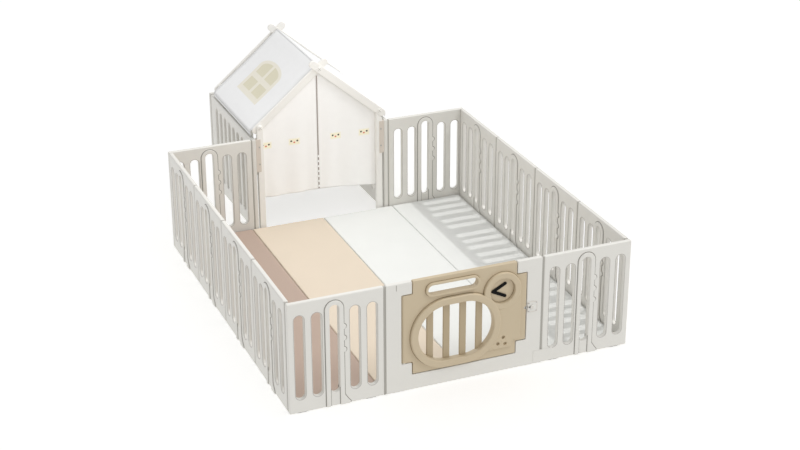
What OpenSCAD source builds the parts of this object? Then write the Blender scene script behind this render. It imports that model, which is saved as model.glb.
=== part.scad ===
// Children's playpen with a drop-on playhouse, a swing gate and a four-section folding mat.
// Millimetres, +Z up. X = 0 on the gate's middle line, Z = 0 on the floor.
// Inside the modules Y = 0 is the front face of the pen; place() moves the whole
// model so that the origin is the middle of its footprint.

/* [Pen walls] */
// Width of one standard panel
panel_w = 510; // [440:5:620]
// Height of the walls above the floor
wall_h = 620; // [560:5:750]
// Thickness of a moulded wall
wall_t = 25; // [22:1:30]
// Gap between two panels in one line, filled by a link
seam = 12; // [9:1:16]
// Gap between a wall's end and the wall across it, at a corner
corner_gap = 17; // [14:1:22]
// Air between the side wall's last panel and the back wall
back_gap = 8; // [5:1:14]

/* [Panel openings] */
// Width of a slot between two slats
slot_w = 51; // [40:1:56]
// Middle of the first and last slot, from the panel's end
slot_margin = 62; // [52:1:70]
// Extra width of the slat that carries the three leaf bumps
leaf_gap = 18; // [10:1:26]
// Solid rail above the slots
top_rail = 73; // [60:1:90]
// Solid rail above the taller slot under the arch
arch_rail = 46; // [38:1:60]
// Solid rail under the slots
bottom_rail = 77; // [60:1:90]
// Width of the raised arch round the tall slot
arch_band = 24; // [16:1:26]
// Height of the raised arch over the panel's face
relief = 2; // [1:0.5:3]
// Radius of one leaf bump
leaf_r = 14; // [10:1:16]
// Distance from one leaf bump to the next
leaf_pitch = 65; // [45:1:75]
// Highest leaf bump, below the top edge
leaf_drop = 175; // [150:5:200]

/* [Links between walls] */
// Thickness of the rib that slides into a wall's groove
key_t = 8; // [6:0.5:10]
// Depth of the groove
key_d = 9; // [7:0.5:11]
// Clearance between rib and groove, each side
key_fit = 0.25; // [0.15:0.05:0.4]
// Solid wall left above a groove
key_cap = 20; // [12:1:30]
// Setback of a link behind the wall's faces
link_set = 4; // [3:0.5:6]

/* [Feet] */
// Height of the rubber grips that the walls stand on
grip_h = 2; // [1.5:0.5:4]
// Length of one grip
grip_l = 60; // [40:5:70]
// Width of one grip
grip_w = 14; // [10:1:16]
// Depth of the pocket that holds a grip
grip_pocket = 2; // [1:0.5:3]
// Distance of a grip's middle from the wall's end
grip_in = 70; // [60:5:90]

/* [Gate] */
// Width of the gate frame
gate_w = 870; // [720:10:1050]
// Width of the frame's columns beside the door's tabs
column_w = 84; // [74:1:96]
// How far each side tab stands out from the door
tab_out = 57.5; // [50:0.5:65]
// Bottom edge of the door above the floor
door_low = 92; // [80:1:110]
// Bottom edge of the side tabs above the floor
tab_low = 162; // [150:1:190]
// Top edge of the side tabs, below the wall's top
tab_drop = 73; // [60:1:90]
// Gap all round the closed door
door_gap = 4; // [3:0.5:6]
// How far the door's raised shapes stand out
door_relief = 4; // [2:0.5:5]
// Radius of the hinge pins
pin_r = 4; // [3:0.5:5]
// Running clearance of a hinge pin in the door
pin_fit = 0.08; // [0.05:0.01:0.1]
// Length of a hinge pin inside the door
pin_in = 24; // [18:1:30]
// Length of a hinge pin inside the frame
pin_out = 22; // [16:1:28]

/* [Door openings] */
// Left end of the oval, in from the door's left edge
oval_left = 25.5; // [20:0.5:60]
// Right end of the oval, in from the door's right edge
oval_right = 131.5; // [120:0.5:160]
// Bottom of the oval above the door's bottom edge
oval_rise = 49; // [40:1:70]
// Top of the oval below the wall's top
oval_drop = 164; // [155:1:190]
// Width of the raised ring round the oval
oval_band = 41.5; // [30:0.5:45]
// Width of a bar in the oval
bar_w = 36; // [26:1:40]
// Depth of a bar, front to back
bar_d = 16; // [12:1:20]
// Largest gap between two bars
bar_gap = 56; // [45:1:65]
// Middle of the handle slot, left of the gate's middle
handle_x = -71.5; // [-90:0.5:-50]
// Middle of the handle slot below the wall's top
handle_drop = 65; // [60:1:72]
// Half length of the handle slot
handle_half = 137.5; // [110:0.5:150]
// Half height of the handle slot, which is also its end radius
handle_r = 26; // [20:1:28]
// Width of the raised rim round the handle slot
handle_rim = 11; // [6:1:12]
// Middle of the round boss, in from the door's right edge
boss_in = 83.5; // [76:0.5:92]
// Middle of the round boss below the wall's top
boss_drop = 145; // [138:1:150]
// Radius of the round boss
boss_r = 104; // [90:1:106]
// Radius of the dish in the boss
dish_r = 70; // [60:1:76]
// Depth of the dish below the boss's face
dish_d = 6; // [3:0.5:8]
// Lower edge of the raised field beside the oval, above the floor
field_low = 142; // [130:1:160]
// Step at the field's lower outer corner
field_step = 40; // [20:1:60]

/* [Brow] */
// Width of the dark bent bar in the dish
brow_w = 14; // [8:1:18]
// Thickness of the bar
brow_t = 3; // [2:0.5:4]
// Length of each arm, between the middles of its round ends
brow_l = 78; // [50:1:84]
// Slope of each arm
brow_turn = 27; // [15:1:40]
// Bend of the bar, left of the boss's middle
brow_left = 52; // [40:1:56]

/* [Latch] */
// Middle of the latch above the floor
latch_z = 345; // [320:5:400]
// Travel of the latch
latch_travel = 14; // [10:1:16]
// Depth of the bolt, front to back
bolt_d = 8; // [6:0.5:10]
// Height of the bolt
bolt_h = 12; // [10:0.5:16]
// Length of the bolt
bolt_l = 40; // [36:1:46]
// Clearance round the bolt, each side
bolt_fit = 0.4; // [0.3:0.05:0.6]
// Width of the latch plate
plate_w = 54; // [50:1:58]
// Height of the latch plate
plate_h = 58; // [50:1:70]
// Thickness of the latch plate
plate_t = 3; // [2:0.5:4]

/* [House] */
// Length of a house wall, front to back
house_l = 860; // [800:10:960]
// Gap between a back panel's end and the house wall
house_gap = 6; // [5:0.5:9]
// Slots in a house wall
house_slots = 8; // [6:1:9]
// Distance from one house slot to the next
house_pitch = 89; // [80:1:96]
// Solid rail above the house slots
house_rail = 58; // [50:1:80]
// Air between a post and the house wall beside it
post_air = 11; // [6:1:20]
// Width of a post
post_w = 38; // [32:1:40]
// Depth of a post: two rafter thicknesses
post_d = 28; // [22:2:34]
// Air between the back wall's inner face and the front posts
post_set = 6; // [4:1:12]
// Air between the rear posts and the rear wall
rear_set = 63; // [10:1:120]
// Bolt at the eave above the wall's top
eave_up = 65; // [55:1:90]
// Bolt at the ridge above the bolt at the eave
ridge_up = 323; // [280:1:380]
// Width of a rafter
rafter_w = 48; // [40:1:52]
// Rafter beyond the eave bolt, to the middle of its round end
rafter_low = 25; // [15:1:35]
// Rafter beyond the ridge bolt, to the middle of its round end
rafter_high = 50; // [36:1:60]
// Air between a post and the rafter let into it
lap_fit = 0.2; // [0.1:0.05:0.5]
// Radius of the ridge and eave tubes
tube_r = 15; // [12:1:16]
// Wall of the tubes
tube_wall = 3; // [2:0.5:4]
// Solid end of a tube
tube_plug = 24; // [20:1:30]
// Radius of a frame bolt's shank
screw_r = 4; // [3:0.5:5]
// Clearance of a frame bolt in its holes
screw_fit = 0.2; // [0.1:0.05:0.3]
// Radius of a frame bolt's cap
cap_r = 15; // [12:1:18]
// Thickness of a frame bolt's cap
cap_t = 4; // [3:0.5:5]
// Length of a frame bolt inside a tube
screw_in = 18; // [14:1:20]
// Length of a post bracket
bracket_l = 211; // [160:1:230]
// Top of a post bracket, below the wall's top
bracket_drop = 5; // [3:1:20]
// Thickness of a post bracket
bracket_t = 3; // [2:0.5:4]
// Distance of a bracket's screws from its ends
bracket_in = 50; // [35:1:60]
// Radius of a bracket screw's shank
small_r = 2.5; // [2:0.25:3]
// Radius of a bracket screw's head
small_head = 5; // [4:0.5:6]

/* [Fabric and mat] */
// Thickness of the roof and curtain cloth
cloth_t = 3; // [2:0.5:4]
// Air between cloth and the hard parts next to it
cloth_gap = 2; // [1:0.5:4]
// Air between the roof cloth and the tubes that carry it
roof_air = 0.5; // [0.2:0.1:1]
// Air between a gable's cloth and the tubes above it
gable_air = 3; // [1:0.5:6]
// Roof cloth below the eave bolt, along the slope
roof_over = 54; // [40:1:60]
// Bottom of the curtains above the floor
curtain_low = 215; // [150:5:300]
// How far the rear gable's cloth hangs down behind the walls' top
rear_drop = 60; // [30:5:120]
// Place of the curtains' meeting edges, from the house's middle
curtain_split = -8; // [-20:1:20]
// Air between the curtains' meeting edges
curtain_air = 1; // [0.5:0.5:4]
// Press studs on the curtains
stud_count = 7; // [5:1:9]
// Distance from one press stud to the next
stud_pitch = 33; // [28:1:38]
// Radius of a press stud
stud_r = 6; // [5:0.5:8]
// Lowest press stud above the curtains' bottom
stud_low = 19; // [12:1:40]
// Thickness of the mat
mat_t = 40; // [25:1:45]
// Air between the mat and the walls
mat_gap = 8; // [6:1:15]
// Air between two sections of the mat
fold_gap = 1.5; // [1:0.5:4]

/* [Hidden] */
$fn = 64;

// Colours
shell = "#E4E1DA";
sand = "#C6B69C";
rose = "#C5AB9C";
cream = "#EBDBC5";
cloth = "#F4F3F1";
dark = "#1E1C1B";
steel = "silver";

// Overall sizes that follow from the panels
SIDE_PANELS = 4;
MAT_SECTIONS = 4;
pen_w = 2 * panel_w + 2 * seam + gate_w;
half_w = pen_w / 2;
side_y0 = wall_t + corner_gap;
side_pitch = panel_w + seam;
side_end = side_y0 + SIDE_PANELS * side_pitch - seam;
pen_d = side_end + back_gap + wall_t;
back_y = pen_d - wall_t;
gate_edge = gate_w / 2;
back_edge = half_w - panel_w;
house_out = back_edge - house_gap;
house_in = house_out - wall_t;
house_end = back_y + house_l;
rear_y = house_end + corner_gap;
total_d = rear_y + wall_t;
plate_z = grip_h;
plate_height = wall_h - grip_h;

// Slots of a standard panel, as distances from its left end
slot_pitch = (panel_w - 2 * slot_margin - leaf_gap) / 4;
slot_low = bottom_rail;
slot_high = plate_height - top_rail;
arch_high = plate_height - arch_rail;
arch_at = slot_margin + 2 * slot_pitch;

// Door
tab_half = gate_edge - column_w - door_gap;
door_half = tab_half - tab_out;
tab_high = wall_h - tab_drop;
pivot_x = -(tab_half - wall_t / 2);
pivot_y = wall_t / 2;
handle_z = wall_h - handle_drop;
boss_z = wall_h - boss_drop;
boss_x = door_half - boss_in;
oval_half = door_half - (oval_left + oval_right) / 2;
oval_x = (oval_left - oval_right) / 2;
oval_r = (wall_h - oval_drop - door_low - oval_rise) / 2;
oval_z = door_low + oval_rise + oval_r;
bar_count = ceil((2 * oval_half - bar_gap) / (bar_w + bar_gap));
bar_pitch = (2 * oval_half + bar_w) / (bar_count + 1);
washer_r = 9;
washer_play = 0.1;

// Latch, from the frame's inner edge outwards
latch_edge = tab_half + door_gap;
bolt_set = 1;
bolt_tip = latch_edge + bolt_set;
bolt_y = (wall_t - bolt_d) / 2;
channel_end = 2;
stem_w = 12;
stem_h = 8;
stem_in = 6;
stem_x = bolt_tip + bolt_l - stem_w - stem_in;
stem_slack = 1;
slide_l = latch_travel + stem_w + 2 * stem_slack;
knob_w = 20;
knob_h = 26;
knob_t = 6;
plate_set = 5;
plate_x0 = latch_edge + plate_set;
latch_screw_r = 2;
latch_screw_in = 5;
latch_screw_edge = 6;
latch_head_t = 1.2;
latch_sink = 1;

// House frame
layer = post_d / 2;
gable_front = back_y + post_set;
gable_rear = rear_y - rear_set - post_d;
post_out = house_in - post_air;
post_x = post_out - post_w / 2;
eave_z = wall_h + eave_up;
ridge_z = eave_z + ridge_up;
slope = atan2(ridge_up, post_x);
rafter_run = norm([post_x, ridge_up]);
rafter_half = rafter_w / 2;
tube_y0 = gable_front + post_d;
tube_y1 = gable_rear;
bracket_z = wall_h - bracket_drop - bracket_l;
small_head_t = 1.5;
screw_end = 1;

// Mat
mat_w = pen_w - 2 * wall_t - 2 * mat_gap;
section_w = (mat_w - (MAT_SECTIONS - 1) * fold_gap) / MAT_SECTIONS;
mat_d = back_y - wall_t - 2 * mat_gap;

// Moves the model so that the origin is the middle of its footprint
module place() {
    translate([0, -total_d / 2, 0]) children();
}

// Stands a flat outline up: outline x stays X, outline y becomes Z, depth runs from Y = 0
module upright(depth) {
    translate([0, depth, 0]) rotate([90, 0, 0]) linear_extrude(depth) children();
}

// Upright slot outline with round ends
module slot_shape(x, low, high, width) {
    r = width / 2;
    translate([x - r, low + r]) square([width, high - low - width]);
    translate([x, low + r]) circle(r);
    translate([x, high - r]) circle(r);
}

// Oval outline with round ends: lying if it is wider than high, else upright
module pill_shape(x, z, half, rise) {
    r = min(half, rise);
    run = abs(half - rise);
    translate([x, z]) rotate(half < rise ? 90 : 0) {
        if (run > 0) square([2 * run, 2 * r], center = true);
        for (side = [-1, 1]) translate([side * run, 0]) circle(r);
    }
}

// Raised arch with its two legs and the three leaf bumps, as an outline
module arch_shape() {
    inner = slot_w / 2;
    outer = inner + arch_band;
    crown = arch_high - inner;
    difference() {
        union() {
            translate([arch_at, crown]) circle(outer);
            translate([arch_at - outer, 0]) square([2 * outer, crown]);
            for (i = [0 : 2])
                translate([arch_at + outer - leaf_r / 2, plate_height - leaf_drop - i * leaf_pitch])
                    circle(leaf_r);
        }
        translate([arch_at, crown]) circle(inner);
        translate([arch_at - inner, -1]) square([2 * inner, crown + 1]);
    }
}

// Grooves for the link ribs in both ends of a wall of the given length
module end_grooves(length) {
    t = key_t + 2 * key_fit;
    for (x = [-1, length - key_d])
        translate([x, (wall_t - t) / 2, -1]) cube([key_d + 1, t, plate_height - key_cap + 1]);
}

// Upright groove in a wall's flat face, from the face at Y = 0 inwards
module face_groove(x) {
    t = key_t + 2 * key_fit;
    translate([x - t / 2, -1, -1]) cube([t, key_d + 1, plate_height - key_cap + 1]);
}

// Outline of one rubber grip or its pocket, lying along X
module grip_shape(fit) {
    r = grip_w / 2 + fit;
    square([grip_l - grip_w, 2 * r], center = true);
    for (side = [-1, 1]) translate([side * (grip_l - grip_w) / 2, 0]) circle(r);
}

// Pockets for two grips in the bottom of a wall
module grip_pockets(length) {
    for (x = [grip_in, length - grip_in])
        translate([x, wall_t / 2, -1]) linear_extrude(grip_pocket + 1) grip_shape(0.1);
}

// Standard panel: left end at X = 0, face with the motif at Y = 0, standing on its grips
module standard_panel() {
    color(shell) translate([0, 0, plate_z]) difference() {
        union() {
            upright(wall_t) difference() {
                square([panel_w, plate_height]);
                for (i = [0, 1]) slot_shape(slot_margin + i * slot_pitch, slot_low, slot_high, slot_w);
                slot_shape(arch_at, slot_low, arch_high, slot_w);
                for (i = [0, 1])
                    slot_shape(panel_w - slot_margin - i * slot_pitch, slot_low, slot_high, slot_w);
            }
            for (y = [-relief, wall_t]) translate([0, y, 0]) upright(relief) arch_shape();
        }
        end_grooves(panel_w);
        grip_pockets(panel_w);
    }
}

// House wall with evenly spaced slots: left end at X = 0, outer face at Y = 0
module house_wall(length) {
    first = (length - (house_slots - 1) * house_pitch) / 2;
    difference() {
        translate([0, 0, plate_z]) upright(wall_t) difference() {
            square([length, plate_height]);
            for (i = [0 : house_slots - 1])
                slot_shape(first + i * house_pitch, slot_low, plate_height - house_rail, slot_w);
        }
        translate([0, 0, plate_z]) grip_pockets(length);
    }
}

// Stands a wall module along the left side, face outwards, its end nearest the front at Y = y
module along_left(y, length) {
    translate([-half_w, y + length, 0]) rotate([0, 0, -90]) children();
}

// Stands a wall module along the right side, face inwards, its end nearest the front at Y = y
module along_right(y, length) {
    translate([half_w - wall_t, y + length, 0]) rotate([0, 0, -90]) children();
}

module front_left_panel() {
    place() difference() {
        translate([-half_w, 0, 0]) standard_panel();
        translate([-half_w + wall_t / 2, wall_t, plate_z]) mirror([0, 1, 0]) face_groove(0);
    }
}

module front_right_panel() {
    place() difference() {
        translate([half_w - panel_w, 0, 0]) standard_panel();
        translate([half_w - wall_t / 2, wall_t, plate_z]) mirror([0, 1, 0]) face_groove(0);
    }
}

module back_left_panel() {
    place() difference() {
        translate([-half_w, back_y, 0]) standard_panel();
        translate([-half_w + wall_t / 2, back_y, plate_z]) face_groove(0);
    }
}

module back_right_panel() {
    place() difference() {
        translate([half_w - panel_w, back_y, 0]) standard_panel();
        translate([half_w - wall_t / 2, back_y, plate_z]) face_groove(0);
    }
}

// Panels 1 to 4 count from the front
module left_panel(i) {
    place() along_left(side_y0 + (i - 1) * side_pitch, panel_w) standard_panel();
}

module right_panel(i) {
    place() along_right(side_y0 + (i - 1) * side_pitch, panel_w) standard_panel();
}

// House side wall: grooved face at its front end, grooved rear end
module house_side() {
    color(shell) difference() {
        translate([house_out, back_y, 0]) rotate([0, 0, 90]) house_wall(house_l);
        translate([house_out, back_y + wall_t / 2, plate_z]) rotate([0, 0, 90]) face_groove(0);
        translate([house_out, back_y, plate_z]) rotate([0, 0, 90])
            intersection() {
                end_grooves(house_l);
                translate([house_l / 2, -wall_t, 0]) cube([house_l, 3 * wall_t, wall_h]);
            }
    }
}

module house_right_wall() {
    place() house_side();
}

module house_left_wall() {
    place() mirror([1, 0, 0]) house_side();
}

module house_rear_wall() {
    color(shell) place() difference() {
        translate([-house_out, rear_y, 0]) house_wall(2 * house_out);
        for (side = [-1, 1])
            translate([side * (house_out - wall_t / 2), rear_y, plate_z]) face_groove(0);
    }
}

// Link bar with a rib on each side along X: body from X = 0 to the given gap
module link_bar(gap) {
    h = plate_height - key_cap;
    translate([0, link_set, plate_z]) cube([gap, wall_t - 2 * link_set, plate_height - link_set]);
    for (x = [-key_d + key_fit, gap])
        translate([x, (wall_t - key_t) / 2, plate_z]) cube([key_d - key_fit, key_t, h - key_fit]);
}

module straight_links() {
    color(shell) place() {
        for (x = [-gate_edge - seam, gate_edge]) translate([x, 0, 0]) link_bar(seam);
        for (i = [1 : SIDE_PANELS - 1], x = [-half_w, half_w - wall_t])
            translate([x, side_y0 + i * side_pitch, 0]) rotate([0, 0, -90]) link_bar(seam);
    }
}

module corner_links() {
    color(shell) place() for (side = [-1, 1]) {
        x = side > 0 ? half_w - wall_t : -half_w;
        house_x = side > 0 ? house_in : -house_out;
        translate([x, side_y0, 0]) rotate([0, 0, -90]) link_bar(corner_gap);
        translate([x, back_y, 0]) rotate([0, 0, -90]) link_bar(back_gap);
        translate([house_x, rear_y, 0]) rotate([0, 0, -90]) link_bar(corner_gap);
    }
}

module house_links() {
    color(shell) place() {
        translate([-back_edge, back_y, 0]) link_bar(house_gap);
        translate([house_out, back_y, 0]) link_bar(house_gap);
    }
}

// One pair of grips under a wall of the given length
module grip_pair(length) {
    for (x = [grip_in, length - grip_in])
        translate([x, wall_t / 2, 0]) linear_extrude(grip_h + grip_pocket - 0.05) grip_shape(0);
}

module floor_grips() {
    color(dark) place() {
        for (x = [-half_w, half_w - panel_w], y = [0, back_y])
            translate([x, y, 0]) grip_pair(panel_w);
        for (i = [0 : SIDE_PANELS - 1]) {
            along_left(side_y0 + i * side_pitch, panel_w) grip_pair(panel_w);
            along_right(side_y0 + i * side_pitch, panel_w) grip_pair(panel_w);
        }
        translate([-gate_edge, 0, 0]) grip_pair(gate_w);
        for (x = [-house_in, house_out])
            translate([x, back_y, 0]) rotate([0, 0, 90]) grip_pair(house_l);
        translate([-house_out, rear_y, 0]) grip_pair(2 * house_out);
    }
}

// Outline of the opening for the door: its outline grown by the gap, open at the top
module doorway_shape() {
    gap = door_gap;
    translate([-door_half - gap, door_low - gap])
        square([2 * (door_half + gap), wall_h - door_low + 2 * gap]);
    translate([-tab_half - gap, tab_low - gap])
        square([2 * (tab_half + gap), tab_high - tab_low + 2 * gap]);
}

module gate_frame() {
    color(shell) place() difference() {
        upright(wall_t) difference() {
            translate([-gate_edge, plate_z]) square([gate_w, plate_height]);
            doorway_shape();
        }
        translate([-gate_edge, 0, plate_z]) {
            end_grooves(gate_w);
            grip_pockets(gate_w);
        }
        // bores for the two hinge pins
        translate([pivot_x, pivot_y, tab_low - door_gap - pin_out]) cylinder(r = pin_r, h = pin_out + 1);
        translate([pivot_x, pivot_y, tab_high + door_gap - 1]) cylinder(r = pin_r, h = pin_out + 1);
        // channel for the bolt and slot for its stem
        translate([latch_edge - 1, bolt_y - bolt_fit, latch_z - bolt_h / 2 - bolt_fit])
            cube([1 + bolt_set + bolt_l + channel_end, bolt_d + 2 * bolt_fit, bolt_h + 2 * bolt_fit]);
        translate([stem_x - latch_travel - stem_slack, -1, latch_z - stem_h / 2 - bolt_fit])
            cube([slide_l, bolt_y + 1, stem_h + 2 * bolt_fit]);
        latch_screw_places() cylinder(r = latch_screw_r, h = latch_screw_in + 1);
    }
}

// Raised shapes on one face of the door
module door_relief_shape() {
    difference() {
        union() {
            pill_shape(oval_x, oval_z, oval_half + oval_band, oval_r + oval_band);
            translate([boss_x, boss_z]) circle(boss_r);
            translate([oval_x, field_low])
                square([boss_x + boss_r - field_step - oval_x, boss_z - field_low]);
            translate([boss_x, field_low + field_step])
                square([boss_r, boss_z - field_low - field_step]);
        }
        pill_shape(oval_x, oval_z, oval_half, oval_r);
        translate([boss_x, boss_z]) circle(dish_r);
    }
    difference() {
        pill_shape(handle_x, handle_z, handle_half + handle_rim, handle_r + handle_rim);
        pill_shape(handle_x, handle_z, handle_half, handle_r);
    }
}

module gate_door() {
    bar_low = oval_z - oval_r - 1;
    color(sand) place() difference() {
        union() {
            difference() {
                union() {
                    upright(wall_t) {
                        translate([-door_half, door_low]) square([2 * door_half, wall_h - door_low]);
                        translate([pivot_x, tab_low])
                            square([tab_half - pivot_x, tab_high - tab_low]);
                    }
                    translate([pivot_x, pivot_y, tab_low])
                        cylinder(r = wall_t / 2, h = tab_high - tab_low);
                    translate([0, -door_relief, 0]) upright(door_relief) door_relief_shape();
                }
                translate([0, -1, 0]) upright(wall_t + 2) {
                    pill_shape(oval_x, oval_z, oval_half, oval_r);
                    pill_shape(handle_x, handle_z, handle_half, handle_r);
                }
                translate([boss_x, -1, boss_z]) rotate([-90, 0, 0])
                    cylinder(r = dish_r, h = dish_d - door_relief + 1);
            }
            for (i = [1 : bar_count])
                translate([
                    oval_x - oval_half - bar_w + i * bar_pitch,
                    (wall_t - bar_d) / 2,
                    bar_low
                ])
                    cube([bar_w, bar_d, 2 * (oval_z - bar_low)]);
        }
        // bores that turn on the hinge pins
        for (z = [tab_low - 1, tab_high - pin_in - 1])
            translate([pivot_x, pivot_y, z]) cylinder(r = pin_r + pin_fit, h = pin_in + 2);
        // socket for the latch bolt
        translate([
            tab_half - latch_travel - channel_end,
            bolt_y - 2 * bolt_fit,
            latch_z - bolt_h / 2 - 2 * bolt_fit
        ])
            cube([latch_travel + channel_end + 1, bolt_d + 4 * bolt_fit, bolt_h + 4 * bolt_fit]);
    }
}

// Dark bent bar in the boss's dish
module door_brow() {
    r = brow_w / 2;
    color(dark) place() translate([boss_x - brow_left, dish_d - door_relief - brow_t, boss_z])
        upright(brow_t) for (turn = [brow_turn, -brow_turn]) rotate(turn)
            pill_shape(brow_l / 2, 0, brow_l / 2 + r, r);
}

module hinge_pins() {
    color(steel) place() for (z = [tab_low - door_gap - pin_out, tab_high - pin_in + 1])
        translate([pivot_x, pivot_y, z]) cylinder(r = pin_r, h = pin_in + door_gap + pin_out - 1);
}

module hinge_washer() {
    color(shell) place() translate([pivot_x, pivot_y, tab_low - door_gap]) difference() {
        cylinder(r = washer_r, h = door_gap - washer_play);
        translate([0, 0, -1]) cylinder(r = pin_r, h = door_gap + 2);
    }
}

// Places at the four corners of the latch plate, with +Z running into the frame
module latch_screw_places() {
    edge = latch_screw_edge;
    for (x = [edge, plate_w - edge], z = [edge - plate_h / 2, plate_h / 2 - edge])
        translate([plate_x0 + x, 0, latch_z + z]) rotate([-90, 0, 0]) translate([0, 0, -1]) children();
}

module latch_plate() {
    color(shell) place() difference() {
        translate([plate_x0, -plate_t, latch_z - plate_h / 2]) cube([plate_w, plate_t, plate_h]);
        translate([stem_x - latch_travel - stem_slack, -plate_t - 1, latch_z - stem_h / 2 - bolt_fit])
            cube([slide_l, plate_t + 2, stem_h + 2 * bolt_fit]);
        latch_screw_places() translate([0, 0, -plate_t]) cylinder(r = latch_screw_r, h = plate_t + 2);
    }
}

module latch_screws() {
    color(steel) place() latch_screw_places() {
        translate([0, 0, 1 - plate_t])
            cylinder(r = latch_screw_r, h = plate_t + latch_screw_in - latch_sink);
        translate([0, 0, 1 - plate_t - latch_head_t])
            cylinder(r = 2 * latch_screw_r, h = latch_head_t);
    }
}

module latch_bolt() {
    color(shell) place() {
        translate([bolt_tip, bolt_y, latch_z - bolt_h / 2]) cube([bolt_l, bolt_d, bolt_h]);
        translate([stem_x, -plate_t - bolt_fit, latch_z - stem_h / 2])
            cube([stem_w, plate_t + bolt_fit + bolt_y, stem_h]);
    }
}

module latch_knob() {
    color(sand) place() translate([stem_x + stem_w / 2, -plate_t - bolt_fit - knob_t, latch_z])
        upright(knob_t) slot_shape(0, -knob_h / 2, knob_h / 2, knob_w);
}

// Outline of a right-hand rafter, from the eave bolt up to and past the ridge bolt
module rafter_shape(grow) {
    r = rafter_half + grow;
    translate([post_x, eave_z]) rotate(180 - slope) {
        translate([-rafter_low, -r]) square([rafter_run + rafter_low + rafter_high, 2 * r]);
        translate([-rafter_low, 0]) circle(r);
        translate([rafter_run + rafter_high, 0]) circle(r);
    }
}

// Right-hand rafter with its two bolt holes
module rafter() {
    difference() {
        upright(layer) rafter_shape(0);
        for (at = [[post_x, eave_z], [0, ridge_z]])
            translate([at[0], -1, at[1]]) rotate([-90, 0, 0])
                cylinder(r = screw_r + screw_fit, h = layer + 2);
    }
}

// Right-hand post; its front half (front = true) or its rear half makes room for the rafter
module post(front) {
    top = eave_z;
    difference() {
        union() {
            upright(post_d) translate([post_x - post_w / 2, 0]) square([post_w, top]);
            translate([post_x, 0, top]) rotate([-90, 0, 0]) cylinder(r = post_w / 2, h = post_d);
        }
        translate([0, front ? -lap_fit : layer - lap_fit, 0]) upright(layer + 2 * lap_fit) {
            rafter_shape(lap_fit);
            translate([post_x, eave_z]) rotate(180 - slope)
                translate([-post_w * 2, -post_w * 3]) square([post_w * 4, post_w * 3]);
        }
        translate([post_x, -1, eave_z]) rotate([-90, 0, 0])
            cylinder(r = screw_r + screw_fit, h = post_d + 2);
        for (z = [bracket_in, bracket_l - bracket_in])
            translate([post_x + post_w / 4, -1, bracket_z + z]) rotate([-90, 0, 0])
                cylinder(r = small_r, h = post_d / 2 + 1);
    }
}

module front_right_post() {
    color(shell) place() translate([0, gable_front, 0]) post(true);
}

module front_left_post() {
    color(shell) place() translate([0, gable_front, 0]) mirror([1, 0, 0]) post(false);
}

// The rear gable is the front gable turned to face backwards
module turn_rear() {
    translate([0, gable_rear + post_d, 0]) rotate([0, 0, 180]) children();
}

module rear_left_post() {
    color(shell) place() turn_rear() post(true);
}

module rear_right_post() {
    color(shell) place() turn_rear() mirror([1, 0, 0]) post(false);
}

module front_right_rafter() {
    color(shell) place() translate([0, gable_front, 0]) rafter();
}

module front_left_rafter() {
    color(shell) place() translate([0, gable_front + layer, 0]) mirror([1, 0, 0]) rafter();
}

module rear_left_rafter() {
    color(shell) place() turn_rear() rafter();
}

module rear_right_rafter() {
    color(shell) place() turn_rear() translate([0, layer, 0]) mirror([1, 0, 0]) rafter();
}

// Tube along Y between the gables, with a solid end that takes a bolt at each side
module frame_tube(x, z) {
    l = tube_y1 - tube_y0;
    color(steel) place() translate([x, tube_y0, z]) rotate([-90, 0, 0]) difference() {
        cylinder(r = tube_r, h = l);
        translate([0, 0, tube_plug]) cylinder(r = tube_r - tube_wall, h = l - 2 * tube_plug);
        for (end = [-1, l - tube_plug - 1])
            translate([0, 0, end]) cylinder(r = screw_r, h = tube_plug + 2);
    }
}

module ridge_tube() {
    frame_tube(0, ridge_z);
}

module left_eave_tube() {
    frame_tube(-post_x, eave_z);
}

module right_eave_tube() {
    frame_tube(post_x, eave_z);
}

// Bolts of one gable, heads on its outer face
module gable_bolts() {
    for (at = [[-post_x, eave_z], [0, ridge_z], [post_x, eave_z]])
        translate([at[0], 0, at[1]]) rotate([-90, 0, 0]) {
            cylinder(r = screw_r, h = post_d + screw_in);
            translate([0, 0, -cap_t]) cylinder(r = cap_r, h = cap_t);
        }
}

module frame_bolts() {
    color(shell) place() {
        translate([0, gable_front, 0]) gable_bolts();
        turn_rear() gable_bolts();
    }
}

// Bracket of the right-hand post: a plate on the post's face and a leg in the gap to the wall
module bracket() {
    leg = house_in - post_out;
    difference() {
        translate([post_x, -bracket_t, bracket_z])
            cube([post_w / 2 + leg, bracket_t, bracket_l]);
        for (z = [bracket_in, bracket_l - bracket_in])
            translate([post_x + post_w / 4, -bracket_t - 1, bracket_z + z]) rotate([-90, 0, 0])
                cylinder(r = small_r, h = bracket_t + 2);
    }
    translate([post_out, 0, bracket_z]) cube([leg, post_d, bracket_l]);
}

// Screws of one bracket
module bracket_fixings() {
    for (z = [bracket_in, bracket_l - bracket_in])
        translate([post_x + post_w / 4, 0, bracket_z + z]) rotate([-90, 0, 0]) {
            translate([0, 0, -bracket_t])
                cylinder(r = small_r, h = bracket_t + post_d / 2 - screw_end);
            translate([0, 0, -bracket_t - small_head_t]) cylinder(r = small_head, h = small_head_t);
        }
}

// Repeats a right-hand piece of the front gable at all four posts
module at_posts() {
    translate([0, gable_front, 0]) {
        children();
        mirror([1, 0, 0]) children();
    }
    turn_rear() {
        children();
        mirror([1, 0, 0]) children();
    }
}

module post_brackets() {
    color(sand) place() at_posts() bracket();
}

module bracket_screws() {
    color(steel) place() at_posts() bracket_fixings();
}

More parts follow.
